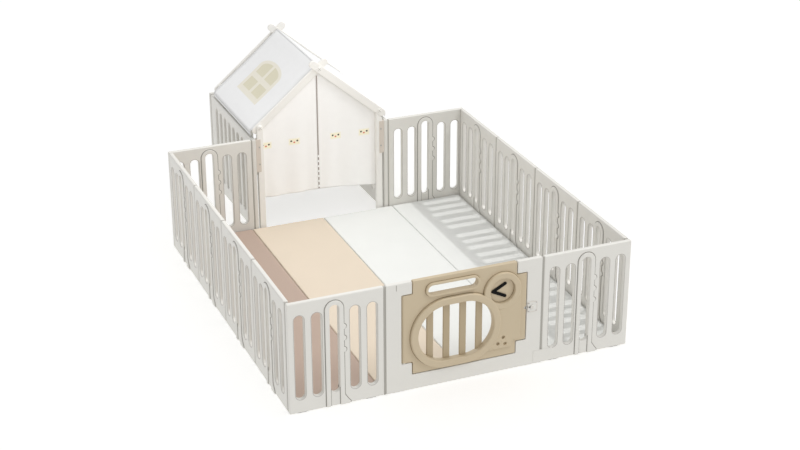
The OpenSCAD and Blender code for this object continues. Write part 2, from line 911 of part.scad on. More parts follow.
// Right-hand half of the roof cloth, lying on the tubes and sewn to the other half at the ridge
module roof_half() {
    near = tube_r + roof_air;
    far = near + cloth_t;
    ends = [gable_front + post_d + cloth_gap, gable_rear - cloth_gap];
    eave = rafter_run + roof_over;
    translate([0, ends[0], 0]) upright(ends[1] - ends[0])
        difference() {
            translate([0, ridge_z]) rotate(-slope)
                translate([-far * 2, near]) square([eave + far * 2, cloth_t]);
            translate([-far * 3 + 0.2, ridge_z - far]) square([far * 3, far * 4]);
        }
}

module roof_right() {
    color(cloth) place() roof_half();
}

module roof_left() {
    color(cloth) place() mirror([1, 0, 0]) roof_half();
}

// Cloth that fills a gable under its tubes, from the given height up, as an outline
module gable_shape(low) {
    apex = ridge_z - (tube_r + gable_air) / cos(slope);
    outer = post_x - tube_r / 2;
    side = apex - outer * tan(slope);
    polygon([[-outer, low], [outer, low], [outer, side], [0, apex], [-outer, side]]);
}

// One curtain: the front gable's cloth on one side of the meeting edge
module curtain(side) {
    translate([0, gable_front + post_d + cloth_gap, 0]) upright(cloth_t) intersection() {
        gable_shape(curtain_low);
        translate([curtain_split + (side > 0 ? curtain_air / 2 : -curtain_air / 2 - half_w), 0])
            square([half_w, ridge_z]);
    }
}

module curtain_right() {
    color(cloth) place() curtain(1);
}

module curtain_left() {
    color(cloth) place() curtain(-1);
}

module rear_cloth() {
    color(cloth) place() translate([0, gable_rear - cloth_gap - cloth_t, 0])
        upright(cloth_t) gable_shape(wall_h - rear_drop);
}

module curtain_studs() {
    color("white") place() for (i = [0 : stud_count - 1])
        translate([
            curtain_split - stud_r - 1,
            gable_front + post_d,
            curtain_low + stud_low + i * stud_pitch
        ]) rotate([-90, 0, 0]) cylinder(r = stud_r, h = cloth_gap);
}

// Mat sections 1 to 4 count from the left
module mat_section(i, tint) {
    color(tint) place()
        translate([-mat_w / 2 + (i - 1) * (section_w + fold_gap), wall_t + mat_gap, 0])
            cube([section_w, mat_d, mat_t]);
}

front_left_panel();
front_right_panel();
left_panel(1);  // left_panel_1
left_panel(2);  // left_panel_2
left_panel(3);  // left_panel_3
left_panel(4);  // left_panel_4
right_panel(1);  // right_panel_1
right_panel(2);  // right_panel_2
right_panel(3);  // right_panel_3
right_panel(4);  // right_panel_4
back_left_panel();
back_right_panel();
house_left_wall();
house_right_wall();
house_rear_wall();
straight_links();
corner_links();
house_links();
floor_grips();
gate_frame();
gate_door();
door_brow();
hinge_pins();
hinge_washer();
latch_plate();
latch_bolt();
latch_knob();
latch_screws();
front_left_post();
front_right_post();
rear_left_post();
rear_right_post();
front_left_rafter();
front_right_rafter();
rear_left_rafter();
rear_right_rafter();
ridge_tube();
left_eave_tube();
right_eave_tube();
frame_bolts();
post_brackets();
bracket_screws();
roof_left();
roof_right();
rear_cloth();
curtain_left();
curtain_right();
curtain_studs();
mat_section(1, rose);  // mat_section_1
mat_section(2, cream);  // mat_section_2
mat_section(3, cloth);  // mat_section_3
mat_section(4, cloth);  // mat_section_4
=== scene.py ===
"""Looks for a children's playpen with a swing gate, a folding mat and a gabled playhouse.

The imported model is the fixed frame. Each class below builds one sub-assembly around it: the slatted
pen walls, the gate, the house frame, the cloth roof and curtains, and the padded mat. Lengths are in
metres. An outline is drawn in a plate's own plane, x along it and y up, and its front face looks
along -Y once the plate stands.
"""

import logging
import math
from dataclasses import dataclass, field
from enum import Enum
from typing import Any, Callable, Sequence

import bmesh
import bpy
from mathutils import Matrix, Vector, noise


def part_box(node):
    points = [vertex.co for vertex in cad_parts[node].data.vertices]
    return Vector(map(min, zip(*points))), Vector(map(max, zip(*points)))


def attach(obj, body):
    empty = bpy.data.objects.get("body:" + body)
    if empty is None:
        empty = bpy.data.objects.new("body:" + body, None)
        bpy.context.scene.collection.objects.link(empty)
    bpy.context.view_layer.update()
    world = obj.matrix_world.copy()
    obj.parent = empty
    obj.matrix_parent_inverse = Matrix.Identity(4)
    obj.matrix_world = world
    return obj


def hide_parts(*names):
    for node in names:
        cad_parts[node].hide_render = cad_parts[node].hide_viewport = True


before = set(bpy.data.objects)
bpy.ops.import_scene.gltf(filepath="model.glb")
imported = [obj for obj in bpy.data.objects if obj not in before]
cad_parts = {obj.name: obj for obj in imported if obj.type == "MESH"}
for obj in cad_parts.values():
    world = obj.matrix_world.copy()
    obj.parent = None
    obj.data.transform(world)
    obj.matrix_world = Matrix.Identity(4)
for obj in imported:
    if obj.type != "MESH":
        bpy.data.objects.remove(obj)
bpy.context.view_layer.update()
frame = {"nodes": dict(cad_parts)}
LOG = logging.getLogger("playpen")

Point = tuple[float, float]
Loop = list[Point]
Colour = tuple[float, float, float, float]
Mesh, Object, Material = bpy.types.Mesh, bpy.types.Object, bpy.types.Material
Tree, Socket = bpy.types.NodeTree, bpy.types.NodeSocket
UPRIGHT = Matrix.Rotation(math.radians(90), 4, "X")
REAR_CLOTH_SIDE = 0.1078


class Body(Enum):
    """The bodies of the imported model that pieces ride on."""

    PEN = "pen"
    GATE = "gate"
    LATCH = "latch"
    MAT_LEFT = "mat_left"
    MAT_RIGHT = "mat_right"


# ---------------------------------------------------------------------------------------------
# Node helper and finishes
# ---------------------------------------------------------------------------------------------


def add(tree: Tree, kind: str, values: dict[Any, Any] | None = None, **settings: Any) -> bpy.types.Node:
    """Adds one node with its settings, its input values and the links into it.

    Args:
        tree: Node tree that gets the node.
        kind: Blender's type name of the node.
        values: Input name or index, with a plain value or what feeds it: a socket, a node, whose first
            output is meant, or a list of either.
        settings: Properties of the node itself.

    Returns:
        The new node.
    """
    node = tree.nodes.new(kind)
    for name, value in settings.items():
        setattr(node, name, value)
    for key, value in (values or {}).items():
        for source in value if isinstance(value, list) else [value]:
            if isinstance(source, bpy.types.Node):
                source = source.outputs[0]
            if isinstance(source, Socket):
                tree.links.new(source, node.inputs[key])
            else:
                node.inputs[key].default_value = source
    return node


def linear(code: str) -> Colour:
    """Linear RGBA of an sRGB hex colour such as "#C6B69C"."""
    parts = [int(code[i : i + 2], 16) / 255 for i in (1, 3, 5)]
    return (*[c / 12.92 if c <= 0.04045 else ((c + 0.055) / 1.055) ** 2.4 for c in parts], 1.0)


def scaled(code: str, share: float) -> Colour:
    """Linear RGBA of a hex colour, lightened or darkened by a share."""
    r, g, b, _ = linear(code)
    return (min(1.0, r * share), min(1.0, g * share), min(1.0, b * share), 1.0)


def blank(name: str) -> tuple[Material, Tree]:
    """A new material with an empty tree.

    Args:
        name: Name of the material.

    Returns:
        The material and its tree.
    """
    material = bpy.data.materials.new(name)
    material.use_nodes = True
    material.node_tree.nodes.clear()
    return material, material.node_tree


def shaded(material: Material, values: dict[str, Any]) -> Material:
    """Ends a material's tree in its surface shader and its output.

    Args:
        material: Material whose tree has the nodes that feed the shader.
        values: The shader's inputs, each with its value or what feeds it.

    Returns:
        The same material.
    """
    shader = add(material.node_tree, "ShaderNodeBsdfPrincipled", values)
    add(material.node_tree, "ShaderNodeOutputMaterial", {"Surface": shader})
    return material


@dataclass(frozen=True)
class Finish:
    """What every finish has: a name, a colour and a shine."""

    name: str
    colour: str
    roughness: float = 0.5
    ior: float = 1.5

    def material(self) -> Material:
        """The finish as a material, made once."""
        found = bpy.data.materials.get(self.name)
        return found if found else self.build()

    def build(self) -> Material:
        """Builds the material's nodes."""
        raise NotImplementedError


@dataclass(frozen=True)
class MouldedPlastic(Finish):
    """Blow-moulded HDPE: a satin skin with the mould's fine grain, soft flow marks and light scuffs."""

    grain: float = 0.0016
    grain_depth: float = 0.00006
    flow: float = 0.14
    flow_depth: float = 0.0006
    scuff: float = 0.012
    mottle: float = 0.012

    def build(self) -> Material:
        """Builds the moulded skin. The grain breaks up highlights, the flow marks vary the shine.

        Returns:
            The material.
        """
        material, tree = blank(self.name)
        place = add(tree, "ShaderNodeTexCoord").outputs["Object"]
        flow = add(tree, "ShaderNodeTexNoise", {"Vector": place, "Scale": 1 / self.flow, "Detail": 3.0})
        long = add(tree, "ShaderNodeMapping", {"Vector": place, "Scale": (1.0, 1.0, 0.16)})
        scuffs = add(tree, "ShaderNodeTexNoise", {"Vector": long, "Scale": 1 / self.scuff, "Detail": 5.0})
        ends = {"From Min": 0.35, "From Max": 0.7, "To Min": self.roughness - 0.05, "To Max": self.roughness + 0.08}
        shine = add(tree, "ShaderNodeMapRange", {"Value": scuffs, **ends})
        grain = add(tree, "ShaderNodeTexNoise", {"Vector": place, "Scale": 1 / self.grain, "Detail": 2.0})
        fine = add(tree, "ShaderNodeBump", {"Height": grain, "Strength": 0.35, "Distance": self.grain_depth})
        values = {"Height": flow, "Strength": 0.2, "Distance": self.flow_depth, "Normal": fine}
        wave = add(tree, "ShaderNodeBump", values)
        tones = {"A": scaled(self.colour, 1 - self.mottle), "B": scaled(self.colour, 1 + self.mottle)}
        tint = add(tree, "ShaderNodeMix", {"Factor": flow, **tones}, data_type="RGBA").outputs["Result"]
        return shaded(material, {"Base Color": tint, "Roughness": shine, "Normal": wave, "IOR": self.ior})


@dataclass(frozen=True)
class TurnedSteel(Finish):
    """Zinc-plated mild steel: a grey metal with fine drawing lines along it."""

    lines: float = 0.0015

    def build(self) -> Material:
        """Builds the metal. Fine streaks vary its shine as drawn wire does.

        Returns:
            The material.
        """
        material, tree = blank(self.name)
        place = add(tree, "ShaderNodeTexCoord").outputs["Object"]
        long = add(tree, "ShaderNodeMapping", {"Vector": place, "Scale": (1.0, 0.03, 1.0)})
        streaks = add(tree, "ShaderNodeTexNoise", {"Vector": long, "Scale": 1 / self.lines, "Detail": 3.0})
        ends = {"To Min": self.roughness - 0.08, "To Max": self.roughness + 0.12}
        shine = add(tree, "ShaderNodeMapRange", {"Value": streaks, **ends})
        bump = add(tree, "ShaderNodeBump", {"Height": streaks, "Strength": 0.2, "Distance": 0.00005})
        metal = {"Base Color": linear(self.colour), "Metallic": 1.0}
        return shaded(material, {**metal, "Roughness": shine, "Normal": bump})


@dataclass(frozen=True)
class MouldedRubber(Finish):
    """Moulded TPE rubber: dark and matt, with a coarse non-slip grain and a little dust."""

    grain: float = 0.0012
    dust: float = 0.02

    def build(self) -> Material:
        """Builds the rubber. The grain keeps any highlight broad and dull.

        Returns:
            The material.
        """
        material, tree = blank(self.name)
        place = add(tree, "ShaderNodeTexCoord").outputs["Object"]
        cells = add(tree, "ShaderNodeTexVoronoi", {"Vector": place, "Scale": 1 / self.grain})
        height = cells.outputs["Distance"]
        bump = add(tree, "ShaderNodeBump", {"Height": height, "Strength": 0.4, "Distance": 0.0001})
        dust = add(tree, "ShaderNodeTexNoise", {"Vector": place, "Scale": 1 / self.dust, "Detail": 4.0})
        tones = {"A": linear(self.colour), "B": scaled(self.colour, 2.2)}
        tint = add(tree, "ShaderNodeMix", {"Factor": dust, **tones}, data_type="RGBA").outputs["Result"]
        dull = {"Roughness": self.roughness, "IOR": self.ior}
        return shaded(material, {"Base Color": tint, "Normal": bump, **dull})


@dataclass(frozen=True)
class CoatedLeathercloth(Finish):
    """PU-coated leathercloth: a wipe-clean skin with pebbled leather grain and a faint sheen."""

    pebble: float = 0.0022
    give: float = 0.16
    mottle: float = 0.025

    def build(self) -> Material:
        """Builds the cover. Pebbles dim and spread highlights, broad patches show the foam's give.

        Returns:
            The material.
        """
        material, tree = blank(self.name)
        place = add(tree, "ShaderNodeTexCoord").outputs["Object"]
        values = {"Vector": place, "Scale": 1 / self.pebble}
        pebbles = add(tree, "ShaderNodeTexVoronoi", values, feature="DISTANCE_TO_EDGE").outputs["Distance"]
        give = add(tree, "ShaderNodeTexNoise", {"Vector": place, "Scale": 1 / self.give, "Detail": 4.0})
        low = add(tree, "ShaderNodeBump", {"Height": give, "Strength": 0.3, "Distance": 0.004})
        values = {"Height": pebbles, "Strength": 0.35, "Distance": 0.00025, "Normal": low}
        bump = add(tree, "ShaderNodeBump", values)
        ends = {"To Min": self.roughness - 0.06, "To Max": self.roughness + 0.06}
        shine = add(tree, "ShaderNodeMapRange", {"Value": give, **ends})
        tones = {"A": scaled(self.colour, 1 - self.mottle), "B": scaled(self.colour, 1 + self.mottle)}
        tint = add(tree, "ShaderNodeMix", {"Factor": give, **tones}, data_type="RGBA").outputs["Result"]
        skin = {"Base Color": tint, "Roughness": shine, "Normal": bump}
        return shaded(material, {**skin, "IOR": self.ior, "Sheen Weight": 0.08})


@dataclass(frozen=True)
class Print:
    """One printed patch on cloth: a rounded box or ellipse in the cloth's own metres."""

    x: float
    y: float
    half_x: float
    half_y: float
    colour: str
    round: bool = False
    soft: float = 0.002
    fold_x: float = 0.0


@dataclass(frozen=True)
class WovenCloth(Finish):
    """Plain-woven polyester: crossing threads, a soft sheen and, where it has them, printed patches."""

    width: float = 1.0
    length: float = 1.0
    thread: float = 0.0022
    slub: float = 0.05
    prints: tuple[Print, ...] = ()
    sheen: float = 0.25

    def build(self) -> Material:
        """Builds the cloth on its UV map. The thread is drawn coarser than life so that it shows.

        Returns:
            The material.
        """
        material, tree = blank(self.name)
        uv = add(tree, "ShaderNodeTexCoord").outputs["UV"]
        metres = add(tree, "ShaderNodeMapping", {"Vector": uv, "Scale": (self.width, self.length, 1.0)})
        values = {"Vector": metres, "Scale": 0.314 / self.thread, "Distortion": 0.6, "Detail": 1.0}
        bands = [
            add(tree, "ShaderNodeTexWave", values, wave_type="BANDS", bands_direction=way).outputs["Fac"]
            for way in ("X", "Y")
        ]
        weave = add(tree, "ShaderNodeMath", {0: bands[0], 1: bands[1]}, operation="MULTIPLY")
        slub = add(tree, "ShaderNodeTexNoise", {"Vector": metres, "Scale": 1 / self.slub, "Detail": 5.0})
        fine = add(tree, "ShaderNodeBump", {"Height": weave, "Strength": 0.3, "Distance": 0.0003})
        values = {"Height": slub, "Strength": 0.2, "Distance": 0.002, "Normal": fine}
        crease = add(tree, "ShaderNodeBump", values)
        tones = {"A": scaled(self.colour, 0.975), "B": scaled(self.colour, 1.02)}
        colour = add(tree, "ShaderNodeMix", {"Factor": slub, **tones}, data_type="RGBA").outputs["Result"]
        for patch in self.prints:
            colour = self.printed(tree, metres, colour, patch)
        soft = {"Roughness": self.roughness, "Sheen Weight": self.sheen, "Sheen Roughness": 0.5}
        return shaded(material, {"Base Color": colour, "Normal": crease, "IOR": self.ior, **soft})

    @staticmethod
    def printed(tree: Tree, metres: bpy.types.Node, under: Socket, patch: Print) -> Socket:
        """Lays one printed patch over the colour below it.

        Args:
            tree: The material's tree.
            metres: Place on the cloth in metres.
            under: Colour under the patch.
            patch: The patch to print.

        Returns:
            The colour with the patch on it.
        """
        vector, centre, size = "ShaderNodeVectorMath", (patch.x, patch.y, 0.0), (patch.half_x, patch.half_y, 0.0)
        away = add(tree, vector, {0: metres, 1: centre}, operation="SUBTRACT")
        folded = add(tree, vector, {0: away}, operation="ABSOLUTE")
        if patch.fold_x:
            away = add(tree, vector, {0: folded, 1: (patch.fold_x, 0.0, 0.0)}, operation="SUBTRACT")
            folded = add(tree, vector, {0: away}, operation="ABSOLUTE")
        if patch.round:
            share = (1 / patch.half_x, 1 / patch.half_y, 0.0)
            unit = add(tree, vector, {0: folded, 1: share}, operation="MULTIPLY")
            far = add(tree, vector, {0: unit}, operation="LENGTH").outputs["Value"]
            edge = patch.soft / min(patch.half_x, patch.half_y)
            low, high = 1 - edge, 1 + edge
        else:
            over = add(tree, vector, {0: folded, 1: size}, operation="SUBTRACT")
            parts = add(tree, "ShaderNodeSeparateXYZ", {0: over}).outputs
            far = add(tree, "ShaderNodeMath", {0: parts[0], 1: parts[1]}, operation="MAXIMUM")
            low, high = -patch.soft / 2, patch.soft / 2
        values = {"Value": far, "From Min": low, "From Max": high, "To Min": 1.0, "To Max": 0.0}
        inside = add(tree, "ShaderNodeMapRange", values, interpolation_type="SMOOTHSTEP")
        tones = {"A": under, "B": linear(patch.colour)}
        return add(tree, "ShaderNodeMix", {"Factor": inside, **tones}, data_type="RGBA").outputs["Result"]


# Panels: a warm white, slightly glossy skin with a faint mould grain.
SHELL = MouldedPlastic("moulded_hdpe_warm_white", "#DEDCD6", roughness=0.42)
# Links between panels: a darker joint, so each panel's end shows as a line.
LINK = MouldedPlastic("moulded_hdpe_link_grey", "#A9A69F", roughness=0.5)
# House posts: a whiter, smoother plastic than the panels.
POST_PLASTIC = MouldedPlastic("moulded_hdpe_post_white", "#F0EEE9", roughness=0.4)
# Gate door: a warm sand plastic with soft highlights on its reliefs.
SAND = MouldedPlastic("moulded_hdpe_sand", "#C4B498", roughness=0.45)
# Painted shade lines in the panels: dark grey cords along the relief's edges that stand for the shade in its hollows.
SHELL_SHADE_LINE = MouldedPlastic("moulded_hdpe_crease_grey", "#87847D", roughness=0.6)
# Painted shade round each slot: a mid grey ring that stands for the shade where the surface turns into the slot.
SHELL_SLOT_SHADE = MouldedPlastic("moulded_hdpe_bevel_grey", "#AAA7A0", roughness=0.5)
# Painted shade lines in the door: deep brown cords that stand for the shade round its reliefs.
SAND_SHADE_LINE = MouldedPlastic("moulded_hdpe_crease_sand", "#87755A", roughness=0.6)
# Grille bars: the door's plastic darkened by painted shade, as they stand back in the shadow of the ring.
SAND_PAINTED_SHADE = MouldedPlastic("moulded_hdpe_sand_deep", "#B09F82", roughness=0.5)
# Press studs and bolt caps: small clean white dots.
STUD = MouldedPlastic("moulded_pom_white", "#FBFBF9", roughness=0.35)
# Post brackets: a rosy beige satin nylon.
BRACKET = MouldedPlastic("moulded_nylon_rose_sand", "#D6CCC1", roughness=0.48)
# Bent bar in the boss: a flat black that keeps its shape in full light.
BROW = MouldedPlastic("moulded_abs_black", "#030303", roughness=0.6, ior=1.25, mottle=0.1)
# Metal pieces: a bright metal with a fine drawn grain.
STEEL = TurnedSteel("zinc_plated_steel", "#B9B9B6", roughness=0.32)
# Grips underfoot: a matt dark rubber.
RUBBER = MouldedRubber("moulded_tpe_dark", "#1E1C1B", roughness=0.8)
# Left mat section: a dusty rose leathercloth with a fine pebble grain.
MAT_ROSE = CoatedLeathercloth("pu_leathercloth_rose", "#AF9A8C", roughness=0.6)
# Second mat section: a peach cream leathercloth.
MAT_CREAM = CoatedLeathercloth("pu_leathercloth_cream", "#D8CAB7", roughness=0.6)
# Last two mat sections: a cool off-white leathercloth.
MAT_WHITE = CoatedLeathercloth("pu_leathercloth_white", "#E1E2DF", roughness=0.6)
# Sewing thread: small rounded white stitches.
THREAD = WovenCloth("sewing_thread_white", "#E8E6E2", roughness=0.8, width=0.01, length=0.01, thread=0.0006)


# ---------------------------------------------------------------------------------------------
# Outlines
# ---------------------------------------------------------------------------------------------


def arc(x: float, y: float, radius: float, start: float, end: float, steps: int = 8) -> Loop:
    """Points on an arc, from the start angle to the end angle in degrees."""
    angles = [math.radians(start + (end - start) * k / steps) for k in range(steps + 1)]
    return [(x + radius * math.cos(a), y + radius * math.sin(a)) for a in angles]


def disc(x: float, y: float, radius: float, steps: int) -> Loop:
    """A circle as a closed outline."""
    return arc(x, y, radius, 0, 360, steps)[:-1]


def pill(x: float, y: float, half: float, rise: float, steps: int = 12) -> Loop:
    """Oval with round ends, anticlockwise, lying if it is wider than high.

    Args:
        x: Middle along the plate.
        y: Middle above the plate's lower edge.
        half: Half its width.
        rise: Half its height.
        steps: Steps in each round end.

    Returns:
        The outline.
    """
    radius = min(half, rise)
    run = abs(half - rise)
    if half >= rise:
        return arc(x + run, y, radius, -90, 90, steps) + arc(x - run, y, radius, 90, 270, steps)
    return arc(x, y + run, radius, 0, 180, steps) + arc(x, y - run, radius, 180, 360, steps)


def softened(loop: Sequence[Point], radius: float, steps: int = 4, limit: float = 25) -> Loop:
    """The outline with each sharp corner rounded.

    Args:
        loop: Closed outline.
        radius: Radius of the rounded corners, less where the sides are short.
        steps: Steps in a corner.
        limit: Turn in degrees above which a corner counts as sharp.

    Returns:
        The rounded outline, in the same direction.
    """
    made: Loop = []
    for i, here in enumerate(loop):
        p = Vector(here)
        a, b = Vector(loop[i - 1]) - p, Vector(loop[(i + 1) % len(loop)]) - p
        if min(a.length, b.length) < 1e-7:
            continue
        turn = math.pi - a.angle(b)
        if turn < math.radians(limit):
            made.append(here)
            continue
        reach = min(radius * math.tan(turn / 2), a.length * 0.49, b.length * 0.49)
        start, end = p + a.normalized() * reach, p + b.normalized() * reach
        bisector = (a.normalized() + b.normalized()).normalized()
        centre = p + bisector * (reach / math.cos(a.angle(bisector)))
        for k in range(steps + 1):
            spoke = (start - centre).lerp(end - centre, k / steps)
            made.append(tuple(centre + spoke.normalized() * (start - centre).length))
    return made


def mirrored(loop: Sequence[Point]) -> Loop:
    """The outline mirrored left to right, still anticlockwise."""
    return [(-x, y) for x, y in reversed(loop)]


def turned(loop: Sequence[Point], x: float, y: float, degrees: float) -> Loop:
    """The outline turned about (0, 0) and then moved to (x, y)."""
    c, s = math.cos(math.radians(degrees)), math.sin(math.radians(degrees))
    return [(x + c * px - s * py, y + s * px + c * py) for px, py in loop]


# ---------------------------------------------------------------------------------------------
# Geometry node trees
# ---------------------------------------------------------------------------------------------

FLOAT, INT = "NodeSocketFloat", "NodeSocketInt"
GEOMETRY, MATERIAL, OBJECT = "NodeSocketGeometry", "NodeSocketMaterial", "NodeSocketObject"
EDGE_INPUTS = {"Thickness": (FLOAT, 0.025), "Edge Radius": (FLOAT, 0.003), "Edge Steps": (INT, 4)}
MATH, COMPARE, VECTOR_OF = "ShaderNodeMath", "FunctionNodeCompare", "ShaderNodeCombineXYZ"
QUAD, SWEEP = "GeometryNodeCurvePrimitiveQuadrilateral", "GeometryNodeCurveToMesh"
MOVE, DELETE = "GeometryNodeTransform", "GeometryNodeDeleteGeometry"
ON_POINTS = "GeometryNodeInstanceOnPoints"


def new_tree(name: str, sockets: dict[str, tuple[str, Any]]) -> tuple[Tree, Any]:
    """A new geometry node tree with named inputs and one geometry output.

    Args:
        name: Name of the tree.
        sockets: Input name, with its socket type and its default.

    Returns:
        The tree and its input node's outputs.
    """
    tree = bpy.data.node_groups.new(name, "GeometryNodeTree")
    for label, (kind, default) in sockets.items():
        socket = tree.interface.new_socket(name=label, in_out="INPUT", socket_type=kind)
        if default is not None:
            socket.default_value = default
    tree.interface.new_socket(name="Geometry", in_out="OUTPUT", socket_type=GEOMETRY)
    return tree, add(tree, "NodeGroupInput").outputs


def close_tree(tree: Tree, geometry: bpy.types.Node, material: Socket) -> None:
    """Ends a tree in Realize Instances and Set Material.

    Args:
        tree: Node tree that gets the nodes.
        geometry: Node with the finished geometry.
        material: Socket with the material.
    """
    last = add(tree, "GeometryNodeRealizeInstances", {"Geometry": geometry})
    last = add(tree, "GeometryNodeSetMaterial", {"Geometry": last, "Material": material})
    add(tree, "NodeGroupOutput", {"Geometry": last})


def round_edges_tree() -> Tree:
    """Turns flat closed outlines into a plate with rounded edges, material on each outline's left.

    The plate's front face is at z = 0 and its back at -Thickness.

    Returns:
        The tree.
    """
    tree, given = new_tree("round_edges", {"Geometry": (GEOMETRY, None), **EDGE_INPUTS})
    thick, radius = given["Thickness"], given["Edge Radius"]
    quad = add(tree, QUAD, {"Width": thick, "Height": thick}, mode="RECTANGLE")
    values = {"Curve": quad, "Radius": radius, "Count": given["Edge Steps"]}
    fillet = add(tree, "GeometryNodeFilletCurve", values, mode="POLY")
    half = add(tree, MATH, {0: thick, 1: 0.5}, operation="MULTIPLY")
    spare = add(tree, MATH, {0: radius, 1: half}, operation="SUBTRACT")
    limit = add(tree, MATH, {0: spare, 1: 1e-6}, operation="ADD")
    along = add(tree, "ShaderNodeSeparateXYZ", {0: add(tree, "GeometryNodeInputPosition")})
    beyond = add(tree, COMPARE, {0: along, 1: limit}, data_type="FLOAT", operation="GREATER_THAN")
    one_side = add(tree, DELETE, {"Geometry": fillet, "Selection": beyond}, domain="POINT")
    open_side = add(tree, "GeometryNodeSetSplineCyclic", {"Geometry": one_side, "Cyclic": False})
    to_left = add(tree, MATH, {0: half, 1: -1.0}, operation="MULTIPLY")
    shift = add(tree, VECTOR_OF, {0: to_left, 1: half})
    profile = add(tree, MOVE, {"Geometry": open_side, "Translation": shift, "Scale": (-1, -1, 1)})
    level = add(tree, "GeometryNodeSetCurveNormal", {"Curve": given["Geometry"]}, mode="Z_UP")
    wall = add(tree, SWEEP, {"Curve": level, "Profile Curve": profile})
    tangent = add(tree, "GeometryNodeInputTangent")
    inward = add(tree, "ShaderNodeVectorMath", {0: (0, 0, 1), 1: tangent}, operation="CROSS_PRODUCT")
    unit = add(tree, "ShaderNodeVectorMath", {0: inward}, operation="NORMALIZE")
    offset = add(tree, "ShaderNodeVectorMath", {0: unit, "Scale": radius}, operation="SCALE")
    inset = add(tree, "GeometryNodeSetPosition", {"Geometry": given["Geometry"], "Offset": offset})
    front = add(tree, "GeometryNodeFillCurve", {0: inset}, mode="NGONS")
    behind = add(tree, VECTOR_OF, {2: add(tree, MATH, {0: thick, 1: -1.0}, operation="MULTIPLY")})
    copied = add(tree, MOVE, {"Geometry": front, "Translation": behind})
    back = add(tree, "GeometryNodeFlipFaces", {0: copied})
    whole = add(tree, "GeometryNodeJoinGeometry", {0: [wall, front, back]})
    merged = add(tree, "GeometryNodeMergeByDistance", {"Geometry": whole, "Distance": 1e-5})
    smooth = add(tree, "GeometryNodeSetShadeSmooth", {"Geometry": merged, "Shade Smooth": True})
    add(tree, "NodeGroupOutput", {"Geometry": smooth})
    return tree


def rounded_plate_tree(edges: Tree) -> Tree:
    """A plate with rounded edges from the outlines on the object itself.

    Args:
        edges: Tree that rounds a body's edges.

    Returns:
        The tree.
    """
    sockets = {"Geometry": (GEOMETRY, None), **EDGE_INPUTS, "Material": (MATERIAL, None)}
    tree, given = new_tree("rounded_plate", sockets)
    fed = {name: given[name] for name in ("Geometry", *EDGE_INPUTS)}
    close_tree(tree, add(tree, "GeometryNodeGroup", fed, node_tree=edges), given["Material"])
    return tree


